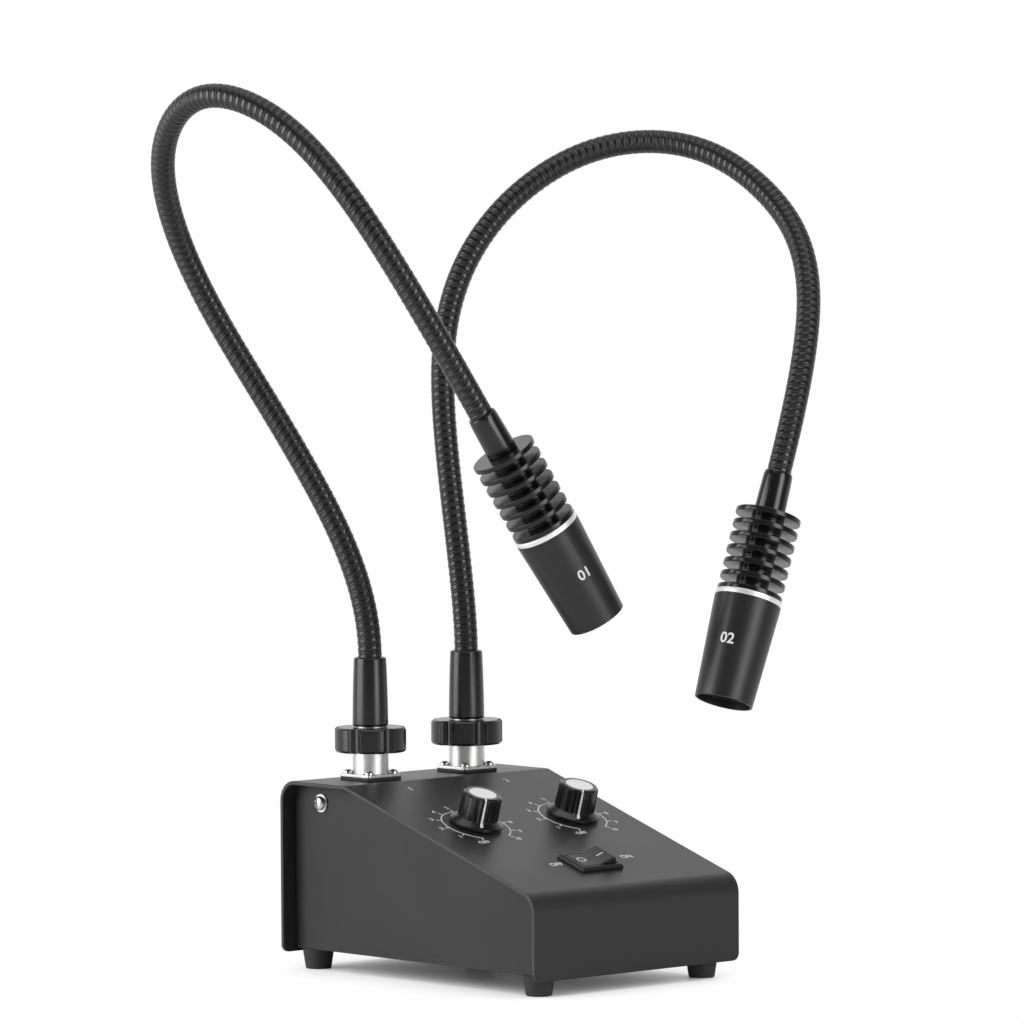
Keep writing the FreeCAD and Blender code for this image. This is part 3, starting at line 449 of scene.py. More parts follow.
@dataclass(frozen=True)
class SpunDisc(Finish):
    """Bright metal disc, spun so that fine rings run round its middle."""

    middle: tuple[float, float, float] = (0.0, 0.0, 0.0)
    metallic: float = 0.6
    pitch: float = 22000.0

    def paint(self, pen: NodePen, surface: bpy.types.Node) -> None:
        """Add the rings round the disc's middle.

        Args:
            pen: The pen.
            surface: The surface node.
        """
        pen.feed(surface, "Metallic", self.metallic)
        offset = pen.vector("SUBTRACT", self.place(pen), self.middle)
        reach = pen.value("ShaderNodeVectorMath", "Value", {"operation": "LENGTH"}, {0: offset})
        rings = pen.math("SINE", reach * self.pitch) * 0.5 + 0.5
        self.tint(pen, surface, rings * 0.3, 0.75)
        pen.feed(surface, "Roughness", rings * 0.1 + (self.roughness - 0.05))
        self.relief(pen, surface, rings, 0.00001)


@dataclass(frozen=True)
class Laminate(Finish):
    """Circuit board under solder mask, with its tracks."""

    def paint(self, pen: NodePen, surface: bpy.types.Node) -> None:
        """Add tracks as a fine cell pattern below the mask.

        Args:
            pen: The pen.
            surface: The surface node.
        """
        cells = pen.value("ShaderNodeTexVoronoi", "Distance", {"distance": "CHEBYCHEV"},
                          {"Vector": self.place(pen), "Scale": 160.0})
        patches = self.cloud(pen, 200.0, 2.0)
        tracks = pen.math("GREATER_THAN", cells, 0.42)
        self.tint(pen, surface, tracks * 0.6 + patches * 0.2, 1.6)
        pen.feed(surface, "Roughness", patches * 0.1 + (self.roughness - 0.05))
        self.relief(pen, surface, cells, 0.00003)


class Stock:
    """The finishes of this object, each made into a material once."""

    _made: dict[str, bpy.types.Material] = {}

    COVER = PowderCoat("cover_powder_coat", (0.015, 0.015, 0.016), 0.37)
    # The chassis is darker than the cover as painted shade: its colour tones down the light falling on
    # the box's sides.
    CHASSIS = PowderCoat("chassis_powder_coat_painted_shade", (0.007, 0.007, 0.008), 0.55)
    GLOSS_BLACK = MouldedPlastic("gloss_black_plastic", (0.006, 0.006, 0.006), 0.20)
    SATIN_BLACK = MouldedPlastic("satin_black_plastic", (0.010, 0.010, 0.010), 0.36)
    NUT_BLACK = MouldedPlastic("coupling_nut_plastic", (0.008, 0.008, 0.008), 0.25, depth=0.000005)
    NECK = NeckJacket("neck_jacket", (0.009, 0.009, 0.009), 0.22)
    NICKEL = PlatedMetal("socket_nickel", (0.86, 0.86, 0.85), 0.40, mottle=0.8, grain=1000.0)
    STEEL = PlatedMetal("bright_steel", (0.66, 0.66, 0.65), 0.28, mottle=0.1)
    RING = PlatedMetal("bright_ring_metal", (0.93, 0.93, 0.92), 0.40, metallic=0.6)
    POT = PlatedMetal("dimmer_can_steel", (0.45, 0.45, 0.43), 0.35, mottle=0.2)
    BRASS = PlatedMetal("post_brass_metal", (0.60, 0.45, 0.18), 0.30, mottle=0.1)
    FOOT = Rubber("foot_rubber_black", (0.020, 0.020, 0.020), 0.72)
    GASKET = Rubber("gasket_rubber_black", (0.010, 0.010, 0.010), 0.60)
    BARREL = Anodised("barrel_black_anodising", (0.020, 0.020, 0.021), 0.36)
    SINK = Anodised("sink_black_anodising", (0.012, 0.012, 0.013), 0.18)
    INK = PrintedInk("white_print", (0.80, 0.80, 0.79), 0.50)
    BOARD = Laminate("driver_board_laminate", (0.035, 0.14, 0.06), 0.35)
    LED_BOARD = Laminate("emitter_board_laminate", (0.62, 0.62, 0.60), 0.40)
    GLASS = ClearGlass("lens_glass_clear", (0.92, 0.93, 0.93), 0.06)
    PHOSPHOR = PrintedInk("emitter_phosphor", (0.78, 0.62, 0.16), 0.45)

    @classmethod
    def get(cls, finish: Finish) -> bpy.types.Material:
        """Give a finish's material, made on its first use.

        Args:
            finish: The finish.

        Returns:
            Its material.
        """
        if finish.name not in cls._made:
            cls._made[finish.name] = finish.material()
        return cls._made[finish.name]


# Meshes

def holder_of(data: bpy.types.ID, name: str) -> bpy.types.Object:
    """Put a mesh, curve, lamp or camera in the scene.

    Args:
        data: What the object holds.
        name: The object's name.

    Returns:
        The object, at the origin.
    """
    holder = bpy.data.objects.new(name, data)
    bpy.context.scene.collection.objects.link(holder)
    return holder


def publish(shape: Union[Form, bpy.types.Mesh], name: str, finish: Finish,
            body: str = "", node: str = "") -> bpy.types.Object:
    """Put a shape in the scene as a finished piece.

    Args:
        shape: The form or mesh, in the frame's own place.
        name: The piece's name.
        finish: Its finish.
        body: The body that it moves with, if it is a single one.
        node: The node that it replaces, if any.

    Returns:
        The object, at the origin.
    """
    mesh = mesh_of(shape, name) if isinstance(shape, Form) else shape
    mesh.materials.clear()
    mesh.materials.append(Stock.get(finish))
    piece = holder_of(mesh, name)
    if body:
        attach(piece, body)
    if node:
        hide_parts(node)
    LOG.info("%s: %d faces", name, len(mesh.polygons))
    return piece


def mark_creases(form: Form, angle: float = 35.0) -> None:
    """Shade a form smooth, with the sharper edges kept.

    Args:
        form: The form.
        angle: The least angle of a sharp edge, in degrees.
    """
    for face in form.faces:
        face.smooth = True
    for edge in form.edges:
        edge.smooth = len(edge.link_faces) == 2 and edge.calc_face_angle(0.0) < math.radians(angle)


def mesh_of(form: Form, name: str) -> bpy.types.Mesh:
    """Turn a working form into a mesh and free it.

    Args:
        form: The form.
        name: The mesh's name.

    Returns:
        The mesh.
    """
    mesh = bpy.data.meshes.new(name)
    form.to_mesh(mesh)
    form.free()
    return mesh


def form_of(mesh: bpy.types.Mesh) -> Form:
    """Open a mesh as a working form.

    Args:
        mesh: The mesh, which stays as it is.

    Returns:
        The form.
    """
    form = bmesh.new()
    form.from_mesh(mesh)
    return form
def baked(piece: bpy.types.Object) -> bpy.types.Mesh:
    """Apply what an object's modifiers make, as a plain mesh, and drop the object.

    Args:
        piece: The object with its modifiers.

    Returns:
        The mesh that they give.
    """
    bpy.context.view_layer.update()
    graph = bpy.context.evaluated_depsgraph_get()
    mesh = bpy.data.meshes.new_from_object(piece.evaluated_get(graph), depsgraph=graph)
    piece.modifiers.clear()
    bpy.data.objects.remove(piece)
    return mesh


def turned(profile: Sequence[Point], rounding: float = 0.0, sides: int = 96, steps: int = 3) -> Form:
    """Turn a closed half section about Z.

    Args:
        profile: Corners (radius, height) in metres, anticlockwise seen with the axis at the left.
        rounding: Radius of every corner that is off the axis, less where runs are short.
        sides: Facets round the axis.
        steps: Segments of each rounded corner.

    Returns:
        The closed form.
    """
    on_axis, least_cut = 1e-9, 1e-7
    corners = [Vector(point) for point in profile]
    outline: list[Vector] = []
    for number, corner in enumerate(corners):
        before, after = corners[number - 1], corners[(number + 1) % len(corners)]
        back, ahead = before - corner, after - corner
        cut = min(rounding, back.length * 0.45, ahead.length * 0.45)
        if corner.x < on_axis or cut < least_cut:
            outline.append(corner)
            continue
        start, end = corner + back.normalized() * cut, corner + ahead.normalized() * cut
        for step in range(steps + 1):
            share = step / steps
            outline.append(start.lerp(corner, share).lerp(corner.lerp(end, share), share))
    form = bmesh.new()
    rings: list[list[bmesh.types.BMVert]] = []
    for out, up in outline:
        if out < on_axis:
            rings.append([form.verts.new((0.0, 0.0, up))])
        else:
            turns = (2 * math.pi * side / sides for side in range(sides))
            rings.append([form.verts.new((out * math.cos(turn), out * math.sin(turn), up))
                          for turn in turns])
    for one, two in zip(rings, rings[1:] + rings[:1]):
        for side in range(sides):
            after = (side + 1) % sides
            pairs = ((one, side), (one, after), (two, after), (two, side))
            unique = list(dict.fromkeys(ring[at % len(ring)] for ring, at in pairs))
            if len(unique) > 2:
                form.faces.new(unique)
    bmesh.ops.recalc_face_normals(form, faces=form.faces)
    return form


def stand_in(node: str, body: str, finish: Finish, edge: float,
             angle: float = 30.0, segments: int = 2) -> None:
    """Show a node as a merged copy with softened edges.

    Args:
        node: The node that it replaces.
        body: The body that it moves with.
        finish: Its finish.
        edge: Width of the rounded edges in metres, or 0 for none.
        angle: Least angle of a rounded edge, in degrees.
        segments: Segments across a rounded edge.
    """
    form = form_of(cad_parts[node].data)
    bmesh.ops.remove_doubles(form, verts=form.verts, dist=2e-6)
    bmesh.ops.dissolve_limit(form, angle_limit=math.radians(1.0), verts=form.verts, edges=form.edges)
    mark_creases(form)
    name = f"{node}_form"
    holder = holder_of(mesh_of(form, name), f"{name}_work")
    if edge > 0:
        bevel = holder.modifiers.new("Edges", "BEVEL")
        bevel.width = edge
        bevel.segments = segments
        bevel.limit_method = "ANGLE"
        bevel.angle_limit = math.radians(angle)
        bevel.use_clamp_overlap = True
        bevel.miter_outer = "MITER_ARC"
    weighted = holder.modifiers.new("Shading", "WEIGHTED_NORMAL")
    weighted.keep_sharp = edge == 0
    mesh = baked(holder)
    if edge > 0:
        mesh.polygons.foreach_set("use_smooth", [True] * len(mesh.polygons))
    publish(mesh, name, finish, body, node)


def repaint(node: str, finish: Finish) -> None:
    """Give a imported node's own mesh a finish.

    Args:
        node: The node.
        finish: Its finish.
    """
    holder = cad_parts[node]
    material = Stock.get(finish)
    if holder.material_slots:
        for place in holder.material_slots:
            place.material = material
    else:
        holder.data.materials.append(material)
    LOG.info("%s: repainted", node)


def lettering(text: str, height: float, thick: float) -> Form:
    """Make generic figures as a thin form, centred on the origin, reading along +X.

    Args:
        text: Figures, or ON and OFF.
        height: Height of a capital.
        thick: How far the print stands up.

    Returns:
        The form.
    """
    stroke_widening = 0.018
    curve = bpy.data.curves.new("figures", "FONT")
    curve.body = text
    curve.align_x = "CENTER"
    curve.size = 1.0
    curve.resolution_u = 4
    curve.offset = stroke_widening
    curve.extrude = 0.5
    form = form_of(baked(holder_of(curve, "figures_work")))
    bmesh.ops.remove_doubles(form, verts=form.verts, dist=1e-5)
    low = Vector([min(vert.co[axis] for vert in form.verts) for axis in range(3)])
    high = Vector([max(vert.co[axis] for vert in form.verts) for axis in range(3)])
    middle, scale = (low + high) / 2, height / (high.y - low.y)
    for vert in form.verts:
        offset = vert.co - middle
        vert.co = Vector((offset.x * scale, offset.y * scale, (offset.z + 0.5) * thick))
    return form


def skinned(sections: Sequence[Sequence[Vector]]) -> Form:
    """Join sections of four points each to a closed bar.

    Args:
        sections: The sections, in order along the bar.

    Returns:
        The closed form.
    """
    form = bmesh.new()
    rows = [[form.verts.new(point) for point in section] for section in sections]
    for one, two in zip(rows, rows[1:]):
        for side in range(4):
            after = (side + 1) % 4
            form.faces.new((one[side], one[after], two[after], two[side]))
    form.faces.new(rows[0])
    form.faces.new(rows[-1][::-1])
    bmesh.ops.recalc_face_normals(form, faces=form.faces)
    return form


def strip(points: Sequence[Vector], width: float, thick: float) -> Form:
    """Lay a thin flat band along a line on the plane Z = 0.

    Args:
        points: The line.
        width: Width of the band.
        thick: How far the print stands up.

    Returns:
        The closed form.
    """
    up = Vector((0, 0, 1))
    sections = []
    for number, point in enumerate(points):
        ahead = points[min(number + 1, len(points) - 1)] - points[max(number - 1, 0)]
        across = ahead.cross(up).normalized() * width / 2
        sections.append([point + across * side + up * thick * rise
                         for side, rise in ((-1, 0), (1, 0), (1, 1), (-1, 1))])
    return skinned(sections)


def ray(degrees: float) -> Vector:
    """Direction in the plane Z = 0, counted from +X towards +Y."""
    return Vector((math.cos(math.radians(degrees)), math.sin(math.radians(degrees)), 0))


def added(target: Form, part: Form, place: Matrix) -> None:
    """Add a form to another and free it.

    Args:
        target: The form that grows.
        part: The form to add.
        place: Where it is moved to.
    """
    part.transform(place)
    mesh = mesh_of(part, "part")
    target.from_mesh(mesh)
    bpy.data.meshes.remove(mesh)


# Places

def turn_about(axis: str, degrees: float) -> Matrix:
    """Rotation about a main axis."""
    return Matrix.Rotation(math.radians(degrees), 4, axis)


def shift(right: float, back: float, up: float) -> Matrix:
    """Move along the three axes, in millimetres."""
    return Matrix.Translation(Vector((right, back, up)) * MM)
@dataclass(frozen=True)
class Layout:
    """Where the sub-assemblies sit, in millimetres."""

    cover_width: float = 106.0
    case_depth: float = 146.0
    rear_height: float = 67.0
    front_height: float = 31.8
    top_depth: float = 38.0
    cover_lift: float = 6.3
    side_recess: float = 6.2
    side_screw_back: float = 17.6
    side_screw_height: float = 65.0
    socket_back: float = 24.5
    knob_up: float = 68.0
    switch_side: float = -2.5
    switch_up: float = 24.9

    @property
    def slope_angle(self) -> float:
        """Tilt of the slope in degrees."""
        return math.degrees(math.atan((self.rear_height - self.front_height)
                                      / (self.case_depth - self.top_depth)))

    def on_slope(self, side: float, up: float, out: float = 0.0) -> Matrix:
        """Frame on the slope: X to the right, Y up the slope, Z out of it.

        Args:
            side: Millimetres to the right of the middle.
            up: Millimetres up from the slope's foot line.
            out: Millimetres out of the slope.

        Returns:
            The frame, in metres.
        """
        foot = shift(side, -self.case_depth / 2, self.cover_lift + self.front_height)
        return foot @ turn_about("X", self.slope_angle) @ shift(0, up, out)

    def on_top(self, side: float) -> Matrix:
        """Frame of a socket on the flat top."""
        return shift(side, self.case_depth / 2 - self.socket_back, self.cover_lift + self.rear_height)

    def at_side_screw(self, side: float) -> Matrix:
        """Frame of a side screw, with Z outwards.

        Args:
            side: -1 for the left screw or 1 for the right.

        Returns:
            The frame, in metres.
        """
        reach = self.cover_width / 2 - self.side_recess
        spot = shift(side * reach, self.case_depth / 2 - self.side_screw_back, self.side_screw_height)
        return spot @ turn_about("Y", 90.0 * side)


LAYOUT = Layout()


class Side(Enum):
    """The two lamps, with the places of their knob and socket in millimetres."""

    LEFT = ("left", -24.0, -27.6)
    RIGHT = ("right", 26.1, 22.3)

    @property
    def word(self) -> str:
        """The side's name in nodes and bodies."""
        return self.value[0]

    @property
    def knob(self) -> float:
        """Middle of the box to the knob."""
        return self.value[1]

    @property
    def socket(self) -> float:
        """Middle of the box to the socket."""
        return self.value[2]


# Sub-assemblies

@dataclass(frozen=True)
class CrossScrew:
    """Domed screw head with a cross recess, standing on Z = 0. Sizes in metres."""

    head: float
    height: float
    washer: float = 0.0
    washer_share: float = 1.25
    foot_share: float = 0.5
    rim_share: float = 0.35
    slot_length: float = 0.62
    slot_width: float = 0.15
    slot_middle: float = 0.95

    def form(self) -> Form:
        """Turn the head and cut its recess.

        Returns:
            The form.
        """
        radius, top = self.head / 2, self.washer + self.height
        foot = radius * (self.washer_share if self.washer else self.foot_share)
        rim = self.washer + self.height * self.rim_share
        profile = [(0.0, 0.0), (foot, 0.0), (foot, self.washer), (radius, self.washer), (radius, rim)]
        for angle in (math.radians(18 * step) for step in range(1, 5)):
            profile.append((radius * math.cos(angle), rim + (top - rim) * math.sin(angle)))
        profile.append((0.0, top))
        holder = holder_of(mesh_of(turned(profile, 0.0, 32), "screw_work"), "screw_work")
        cutter = bmesh.new()
        for turn in (0.0, 90.0):
            bar = bmesh.new()
            bmesh.ops.create_cube(bar, size=1.0)
            size = (self.head * self.slot_length, self.head * self.slot_width, self.height)
            bmesh.ops.scale(bar, vec=size, verts=bar.verts)
            lift = Matrix.Translation((0, 0, self.washer + self.height * self.slot_middle))
            added(cutter, bar, turn_about("Z", turn) @ lift)
        tool = holder_of(mesh_of(cutter, "recess_work"), "recess_work")
        carve = holder.modifiers.new("Recess", "BOOLEAN")
        carve.object = tool
        carve.solver = "EXACT"
        carve.use_self = True
        form = form_of(baked(holder))
        bpy.data.objects.remove(tool)
        mark_creases(form, 40.0)
        return form


@dataclass
class ControlBox:
    """Cover, chassis, feet, side screws and inlet. Sizes in millimetres."""

    sheet_edge: float = 0.25
    inlet_edge: float = 0.25
    foot_edge: float = 0.5
    screw_head: float = 5.6
    screw_height: float = 2.1
    washer: float = 0.6

    def build(self) -> None:
        """Dress the box."""
        stand_in("cover", "base", Stock.COVER, self.sheet_edge * MM)
        # The chassis's darker colour is painted shade on the box's sides.
        stand_in("chassis", "base", Stock.CHASSIS, self.sheet_edge * MM)
        for foot in ("foot_front_left", "foot_front_right", "foot_rear_left", "foot_rear_right"):
            stand_in(foot, "base", Stock.FOOT, self.foot_edge * MM)
        repaint("foot_screws", Stock.STEEL)
        for word, side in (("left", -1.0), ("right", 1.0)):
            repaint(f"side_screw_{word}", Stock.STEEL)
            form = CrossScrew(self.screw_head * MM, self.screw_height * MM, self.washer * MM).form()
            form.transform(LAYOUT.at_side_screw(side))
            publish(form, f"side_screw_head_{word}", Stock.STEEL, "base",
                    f"side_screw_{word}")
        stand_in("power_inlet", "base", Stock.SATIN_BLACK, self.inlet_edge * MM)
        repaint("power_inlet_nut", Stock.STEEL)
        repaint("driver_board", Stock.BOARD)
        repaint("board_posts", Stock.BRASS)


@dataclass
class PanelPrint:
    """White figures and dial rings on the slope. Every size is in millimetres."""

    dial_radius: float = 13.55
    first_angle: float = -120.0
    step_angle: float = -30.0
    marks: tuple[str, ...] = ("OFF", "1", "2", "3", "4", "5", "6", "7", "8", "9", "10")
    steps: int = 120
    tick: float = 2.2
    line: float = 0.5
    figure_height: float = 2.3
    figure_gap: float = 1.9
    off_gap: float = 2.2
    switch_words: tuple[tuple[str, float, float], ...] = (("OFF", -15.4, 2.3), ("ON", 21.4, 3.1))
    switch_height: float = 2.7
    socket_aside: float = 2.0
    socket_up: float = 106.0
    socket_height: float = 3.0
    thick: float = 0.03

    def build(self) -> None:
        """Print both dials, the switch's OFF and ON and the sockets' numbers."""
        form = bmesh.new()
        for side in Side:
            self.dial(form, side)
        for text, across, rise in self.switch_words:
            place = LAYOUT.on_slope(LAYOUT.switch_side + across, LAYOUT.switch_up + rise)
            self.word(form, text, self.switch_height, place)
        for text, side in (("1", Side.LEFT), ("2", Side.RIGHT)):
            place = LAYOUT.on_slope(side.socket + self.socket_aside, self.socket_up)
            self.word(form, text, self.socket_height, place)
        publish(form, "panel_print", Stock.INK, "base")

    def word(self, form: Form, text: str, height: float, place: Matrix) -> None:
        """Print one word or number at a place."""
        added(form, lettering(text, height * MM, self.thick * MM), place)

    def band(self, form: Form, points: Sequence[Vector], place: Matrix) -> None:
        """Print one line at a place."""
        added(form, strip(points, self.line * MM, self.thick * MM), place)

    def dial(self, form: Form, side: Side) -> None:
        """Print a ring with its ticks and figures.

        Args:
            form: The print so far.
            side: Which dial.
        """
        place = LAYOUT.on_slope(side.knob, LAYOUT.knob_up)
        sweep = self.step_angle * (len(self.marks) - 1)
        arc = [ray(self.first_angle + sweep * step / self.steps) * self.dial_radius * MM
               for step in range(self.steps + 1)]
        self.band(form, arc, place)
        for number, mark in enumerate(self.marks):
            way = ray(self.first_angle + self.step_angle * number) * MM
            end = self.dial_radius + self.tick
            self.band(form, [way * self.dial_radius, way * end], place)
            spot = way * (end + (self.off_gap if number == 0 else self.figure_gap))
            self.word(form, mark, self.figure_height, place @ Matrix.Translation(spot))


@dataclass
class PowerSwitch:
    """Snap-in rocker switch. Every size is in millimetres, and angles are in degrees."""

    bezel_edge: float = 0.2
    rocker_edge: float = 0.35
    pivot_depth: float = 0.8
    valley: float = 2.1
    dish: float = 10.0
    throw: float = 20.0
    mark_out: float = 4.6
    ring_radius: float = 1.7
    bar_half: float = 1.6
    mark_line: float = 0.42
    thick: float = 0.03

    def build(self) -> None:
        """Dress the bezel and the rocker and print the rocker's marks."""
        stand_in("switch_housing", "base", Stock.SATIN_BLACK, self.bezel_edge * MM)
        stand_in("power_rocker", "rocker", Stock.SATIN_BLACK, self.rocker_edge * MM)
        form = bmesh.new()
        circle = [ray(10.0 * step) * self.ring_radius * MM for step in range(37)]
        bar = [Vector((end * self.bar_half, 0, 0)) * MM for end in (-1, 1)]
        for side, points in ((-1, circle), (1, bar)):
            added(form, strip(points, self.mark_line * MM, self.thick * MM), self.half(side))
        publish(form, "rocker_marks", Stock.INK, "rocker")

    def half(self, side: int) -> Matrix:
        """Frame in the middle of one half of the rocker's top.

        Args:
            side: -1 for the left half or 1 for the right.

        Returns:
            The frame, Z out of the half.
        """
        pivot = LAYOUT.on_slope(LAYOUT.switch_side, LAYOUT.switch_up, -self.pivot_depth)
        crease = turn_about("Y", -self.throw / 2) @ shift(0, 0, self.pivot_depth + self.valley)
        return pivot @ crease @ turn_about("Y", -side * self.dish) @ shift(side * self.mark_out, 0, 0)


@dataclass
class Dimmer:
    """Knob with its disc and pointer, on a dimmer behind the slope. Sizes in millimetres."""

    side: Side
    knob_edge: float = 0.3
    grip: float = 15.8
    taper: float = 0.5
    skirt: float = 20.5
    skirt_top: float = 3.6
    top: float = 13.2
    disc: float = 10.8
    disc_thick: float = 0.6
    disc_rim: float = 0.5
    disc_dish: float = 0.1
    disc_rounding: float = 0.12
    pointer_angle: float = -120.0
    pointer_rise: float = 0.04
    pointer_thick: float = 0.12
    line: float = 0.75

    def build(self) -> None:
        """Dress the dimmer."""
        word = self.side.word
        repaint(f"pot_{word}", Stock.POT)
        repaint(f"pot_nut_{word}", Stock.STEEL)
        repaint(f"pot_shaft_{word}", Stock.STEEL)
        stand_in(f"knob_{word}", f"dimmer_{word}", Stock.GLOSS_BLACK, self.knob_edge * MM)
        place = LAYOUT.on_slope(self.side.knob, LAYOUT.knob_up)
        self.cap(place)
        self.pointer(place @ turn_about("Z", self.pointer_angle))

    def cap(self, place: Matrix) -> None:
        """Turn the metal disc with its raised rim.

        Args:
            place: The knob's frame.
        """
        word = self.side.word
        radius, top = self.disc / 2 * MM, self.top * MM
        low = top - self.disc_thick * MM
        profile = [(0.0, low), (radius, low), (radius, top), (radius - self.disc_rim * MM, top),
                   (0.0, top - self.disc_dish * MM)]
        form = turned(profile, self.disc_rounding * MM, 72)
        mark_creases(form)
        form.transform(place)
        middle = tuple(place @ Vector((0, 0, top)))
        finish = SpunDisc(f"spun_disc_{word}", (0.86, 0.86, 0.85), 0.34, middle)
        publish(form, f"knob_disc_{word}", finish, f"dimmer_{word}", f"knob_cap_{word}")

    def pointer(self, place: Matrix) -> None:
        """Lay the white line over the grip's edge, down its side and out on the skirt.

        Each stop of its path is a distance from the axis, a height and a share of the line's width.

        Args:
            place: The knob's frame, with X towards the pointer.
        """
        word = self.side.word
        grip = self.grip / 2 + self.pointer_rise
        edge, top = grip - self.taper / 2, self.top + self.pointer_rise
        path = (
            (self.disc / 2, top, 0.9), (edge - 0.9, top, 0.9), (edge - 0.35, self.top - 0.25, 0.9),
            (edge, self.top - 1.0, 0.9), (grip, self.skirt_top, 1.1),
            (grip + 0.5, self.skirt_top - 0.1, 1.5), (self.skirt / 2 - 0.6, self.skirt_top - 1.35, 1.5),
        )
        section = ((-1, 0), (1, 0), (1, self.pointer_thick), (-1, self.pointer_thick))
        form = skinned([[Vector((out - depth, across * self.line * share / 2, up - depth)) * MM
                         for across, depth in section] for out, up, share in path])
        mark_creases(form, 50.0)
        form.transform(place)
        publish(form, f"pointer_{word}", Stock.INK, f"dimmer_{word}")


@dataclass
class NeckMount:
    """Gasket, flanged socket, plug, coupling nut and ferrule of one neck. Sizes in millimetres."""

    side: Side
    gasket_edge: float = 0.25
    socket_edge: float = 0.2
    nut_edge: float = 0.5
    flange: float = 17.3
    flange_top: float = 2.5
    screw_inset: float = 2.5
    screw_head: float = 3.7
    screw_height: float = 1.6
    bore: float = 4.8
    ferrule_foot: float = 20.8
    ferrule_length: float = 26.8
    ferrule_low: float = 13.9
    ferrule_high: float = 12.5
    ferrule_rounding: float = 1.0
    belly: float = 0.12

    def build(self) -> None:
        """Dress the mount."""
        word = self.side.word
        stand_in(f"socket_gasket_{word}", "base", Stock.GASKET, self.gasket_edge * MM)
        stand_in(f"socket_{word}", "base", Stock.NICKEL, self.socket_edge * MM)
        repaint(f"plug_{word}", Stock.NICKEL)
        stand_in(f"coupling_nut_{word}", f"nut_{word}", Stock.NUT_BLACK,
                 self.nut_edge * MM, 25.0, 3)
        self.ferrule()
        self.flange_screws()

    def ferrule(self) -> None:
        """Turn the ferrule, slightly bellied and rounded at its top."""
        word, bore, foot = self.side.word, self.bore / 2, self.ferrule_foot
        low, high, parts = self.ferrule_low / 2, self.ferrule_high / 2, 8
        profile = [(bore, foot), (low, foot)]
        for share in (step / parts for step in range(1, parts)):
            belly = self.belly * 4 * share * (1 - share)
            profile.append((low + (high - low) * share + belly, foot + self.ferrule_length * share))
        top = foot + self.ferrule_length
        profile += [(high, top), (bore, top)]
        form = turned([(out * MM, up * MM) for out, up in profile], self.ferrule_rounding * MM, 128, 5)
        mark_creases(form)
        form.transform(LAYOUT.on_top(self.side.socket))
        publish(form, f"ferrule_form_{word}", Stock.NUT_BLACK, "base",
                f"ferrule_{word}")

    def flange_screws(self) -> None:
        """Set a screw at each corner of the flange with a geometry tree."""
        form = CrossScrew(self.screw_head * MM, self.screw_height * MM).form()
        screw = holder_of(mesh_of(form, "flange_screw_work"), "flange_screw_work")
        holder = holder_of(bpy.data.meshes.new("screw_row_work"), "screw_row_work")
        reach = (self.flange / 2 - self.screw_inset) * MM
        mesh = ScrewRow.run(holder, Stock.STEEL,
                            {"Screw": screw, "Reach": reach, "Lift": self.flange_top * MM})
        bpy.data.objects.remove(screw)
        mesh.transform(LAYOUT.on_top(self.side.socket))
        publish(mesh, f"flange_screws_{self.side.word}", Stock.STEEL, "base")


class Tree:
    """A geometry tree with named inputs, drawn once and run on many objects."""

    _made: dict[str, "Tree"] = {}

    def __init__(self) -> None:
        """Draw the tree, which ends in real geometry with its material."""
        self.tree = bpy.data.node_groups.new(type(self).__name__, "GeometryNodeTree")
        for way in ("INPUT", "OUTPUT"):
            self.tree.interface.new_socket("Geometry", in_out=way, socket_type="NodeSocketGeometry")
        self.pen = NodePen(self.tree)
        self.entry = self.pen.node("NodeGroupInput")
        material = self.input("Material", "Material")
        real = self.changed("RealizeInstances", self.draw())
        painted = self.changed("SetMaterial", real, {"Material": material})
        self.pen.node("NodeGroupOutput", feeds={0: painted})

    def draw(self) -> Wire:
        """Draw what this tree makes. A subclass fills this in."""
        raise NotImplementedError

    def input(self, name: str, kind: str) -> Wire:
        """Add a named input and give its wire.

        Args:
            name: The input's name.
            kind: "Float", "Int", "Object" or "Material".

        Returns:
            The wire that carries it.
        """
        self.tree.interface.new_socket(name, in_out="INPUT", socket_type=f"NodeSocket{kind}")
        return self.pen.out(self.entry, name)

    def changed(self, kind: str, geometry: Wire, feeds: Optional[Feeds] = None,
                settings: Optional[Settings] = None) -> Wire:
        """Add a geometry node that takes a geometry and gives a changed one."""
        feeds = {"Geometry": geometry, **(feeds or {})}
        return self.pen.value(f"GeometryNode{kind}", 0, settings, feeds)

    @classmethod
    def run(cls, holder: bpy.types.Object, finish: Finish, settings: Settings) -> bpy.types.Mesh:
        """Run the tree on an object and give the plain mesh.

        Args:
            holder: The object that carries the start geometry. It is dropped.
            finish: The result's finish.
            settings: Values of the named inputs.

        Returns:
            The result as a mesh.
        """
        if cls.__name__ not in cls._made:
            cls._made[cls.__name__] = cls()
        tree = cls._made[cls.__name__].tree
        values = {**settings, "Material": Stock.get(finish)}
        modifier = holder.modifiers.new("Tree", "NODES")
        modifier.node_group = tree
        for item in tree.interface.items_tree:
            if item.item_type == "SOCKET" and item.in_out == "INPUT" and item.name in values:
                modifier[item.identifier] = values[item.name]
        return baked(holder)


